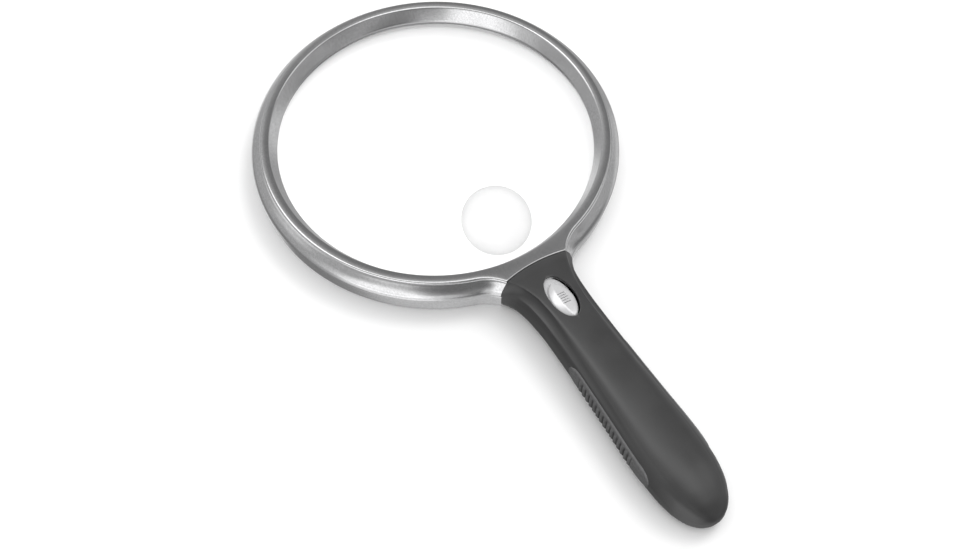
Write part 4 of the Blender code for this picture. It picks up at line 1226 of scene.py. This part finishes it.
def dress_cad_nodes():
    """Gives the CAD nodes that are kept as they are the detailed finish of their slot."""
    slots = {entry["node"]: entry["material_slot"] for entry in frame["record"]["subparts"]}
    for name, node in frame["nodes"].items():
        if not node.hide_render:
            node.data.materials.clear()
            node.data.materials.append(FINISHES[slots[name]])


# ---- the studio


def make_floor():
    """A pale sheet under the part. From below it can't be seen."""
    mesh = bpy.data.meshes.new("floor")
    corners = [(x * FLOOR_HALF, y * FLOOR_HALF) for x, y in ((-1, -1), (1, -1), (1, 1), (-1, 1))]
    mesh.from_pydata([(x, y, FLOOR_Z * MM) for x, y in corners], [], [(0, 1, 2, 3)])
    floor = add_object("floor", mesh)
    m = Material("floor_white")
    m.set(Base_Color=(0.95, 0.95, 0.95), Roughness=0.7, Specular_IOR_Level=0.0)
    mesh.materials.append(m.let_through(m.add("ShaderNodeNewGeometry").outputs["Backfacing"]))
    floor.visible_glossy = floor.visible_diffuse = False


def make_world():
    """Soft surroundings for reflections, a dome for soft light and a pale backdrop."""
    world = bpy.data.worlds.new("studio")
    bpy.context.scene.world = world
    world.use_nodes = True
    world.node_tree.nodes.clear()
    w = Nodes(world.node_tree)
    view = w.add("ShaderNodeTexCoord").outputs["Generated"]

    def toward(direction):
        """The cosine of the angle between the view and a direction."""
        return w.vector("DOT_PRODUCT", view, Vector(direction).normalized(), "Value")

    def glow(name, value):
        return w.add("ShaderNodeBackground", {name: value}).outputs[0]

    level = REFLECTED_BASE
    for direction, inner, outer, strength in PATCHES:
        edge = (math.cos(math.radians(angle)) for angle in (outer, inner))
        level = w.math("ADD", w.span(toward(direction), 0.0, strength, *edge, "SMOOTHSTEP"), level)
    reflected = glow("Strength", w.math("MAXIMUM", level, REFLECTED_LEAST))
    dome = glow("Strength", w.span(toward(DOME_FROM), *DOME_LIGHT, *DOME_CHANGE, "SMOOTHSTEP"))
    path = w.add("ShaderNodeLightPath").outputs
    seen = w.math("MAXIMUM", path["Is Camera Ray"], path["Is Transmission Ray"])
    lit = w.mix(path["Is Glossy Ray"], dome, reflected)
    w.add("ShaderNodeOutputWorld", {"Surface": w.mix(seen, lit, glow("Color", BACKDROP))})


def light(name, kind, energy, **settings):
    """A lamp that shows only by what it lights."""
    lamp = bpy.data.lights.new(name, kind)
    lamp.energy = energy
    for setting, value in settings.items():
        setattr(lamp, setting, value)
    made = add_object(name, lamp)
    made.visible_glossy = made.visible_transmission = made.visible_camera = False
    return made


def make_lights():
    """A large soft lamp above and to the right, and the light that the lens gathers under it."""
    key = light("key", "SUN", KEY_LIGHT, angle=math.radians(KEY_SPREAD))
    key.rotation_euler = Vector(KEY_FROM).to_track_quat("Z", "Y").to_euler()
    page = light("page", "AREA", PAGE_LIGHT, shape="DISK", size=2 * PAGE_RADIUS * MM)
    page.location = (0, CENTRE_Y * MM, PAGE_Z * MM)


def make_camera():
    """The camera looks down at the magnifier from beside the handle, a little turned on its axis."""
    azimuth, elevation, roll = (math.radians(v) for v in CAMERA_TURN)
    level = math.cos(elevation)
    back = Vector((math.sin(azimuth) * level, -math.cos(azimuth) * level, math.sin(elevation)))
    right = (-back).cross(Vector((0, 0, 1))).normalized()
    up = right.cross(-back)
    across = right * math.cos(roll) + up * math.sin(roll)
    upward = up * math.cos(roll) - right * math.sin(roll)
    camera = bpy.data.cameras.new("camera")
    camera.sensor_width = CAMERA_SENSOR
    camera.lens = CAMERA_LENS
    made = add_object("camera", camera)
    turn = Matrix((across, upward, back)).transposed().to_4x4()
    made.matrix_world = Matrix.Translation(Vector(CAMERA_TARGET) * MM + back * CAMERA_DISTANCE * MM) @ turn
    bpy.context.scene.camera = made


bpy.context.scene.view_settings.view_transform = "Standard"
for make in (
    make_camera, make_world, make_lights, make_floor, make_front_rim, make_rear_rim, make_lens, make_gasket,
    make_handle_upper, make_handle_lower, make_battery_door, make_grips, make_switch, make_screws, make_lamps,
    make_cells, make_springs, make_wires, dress_cad_nodes,
):
    make()
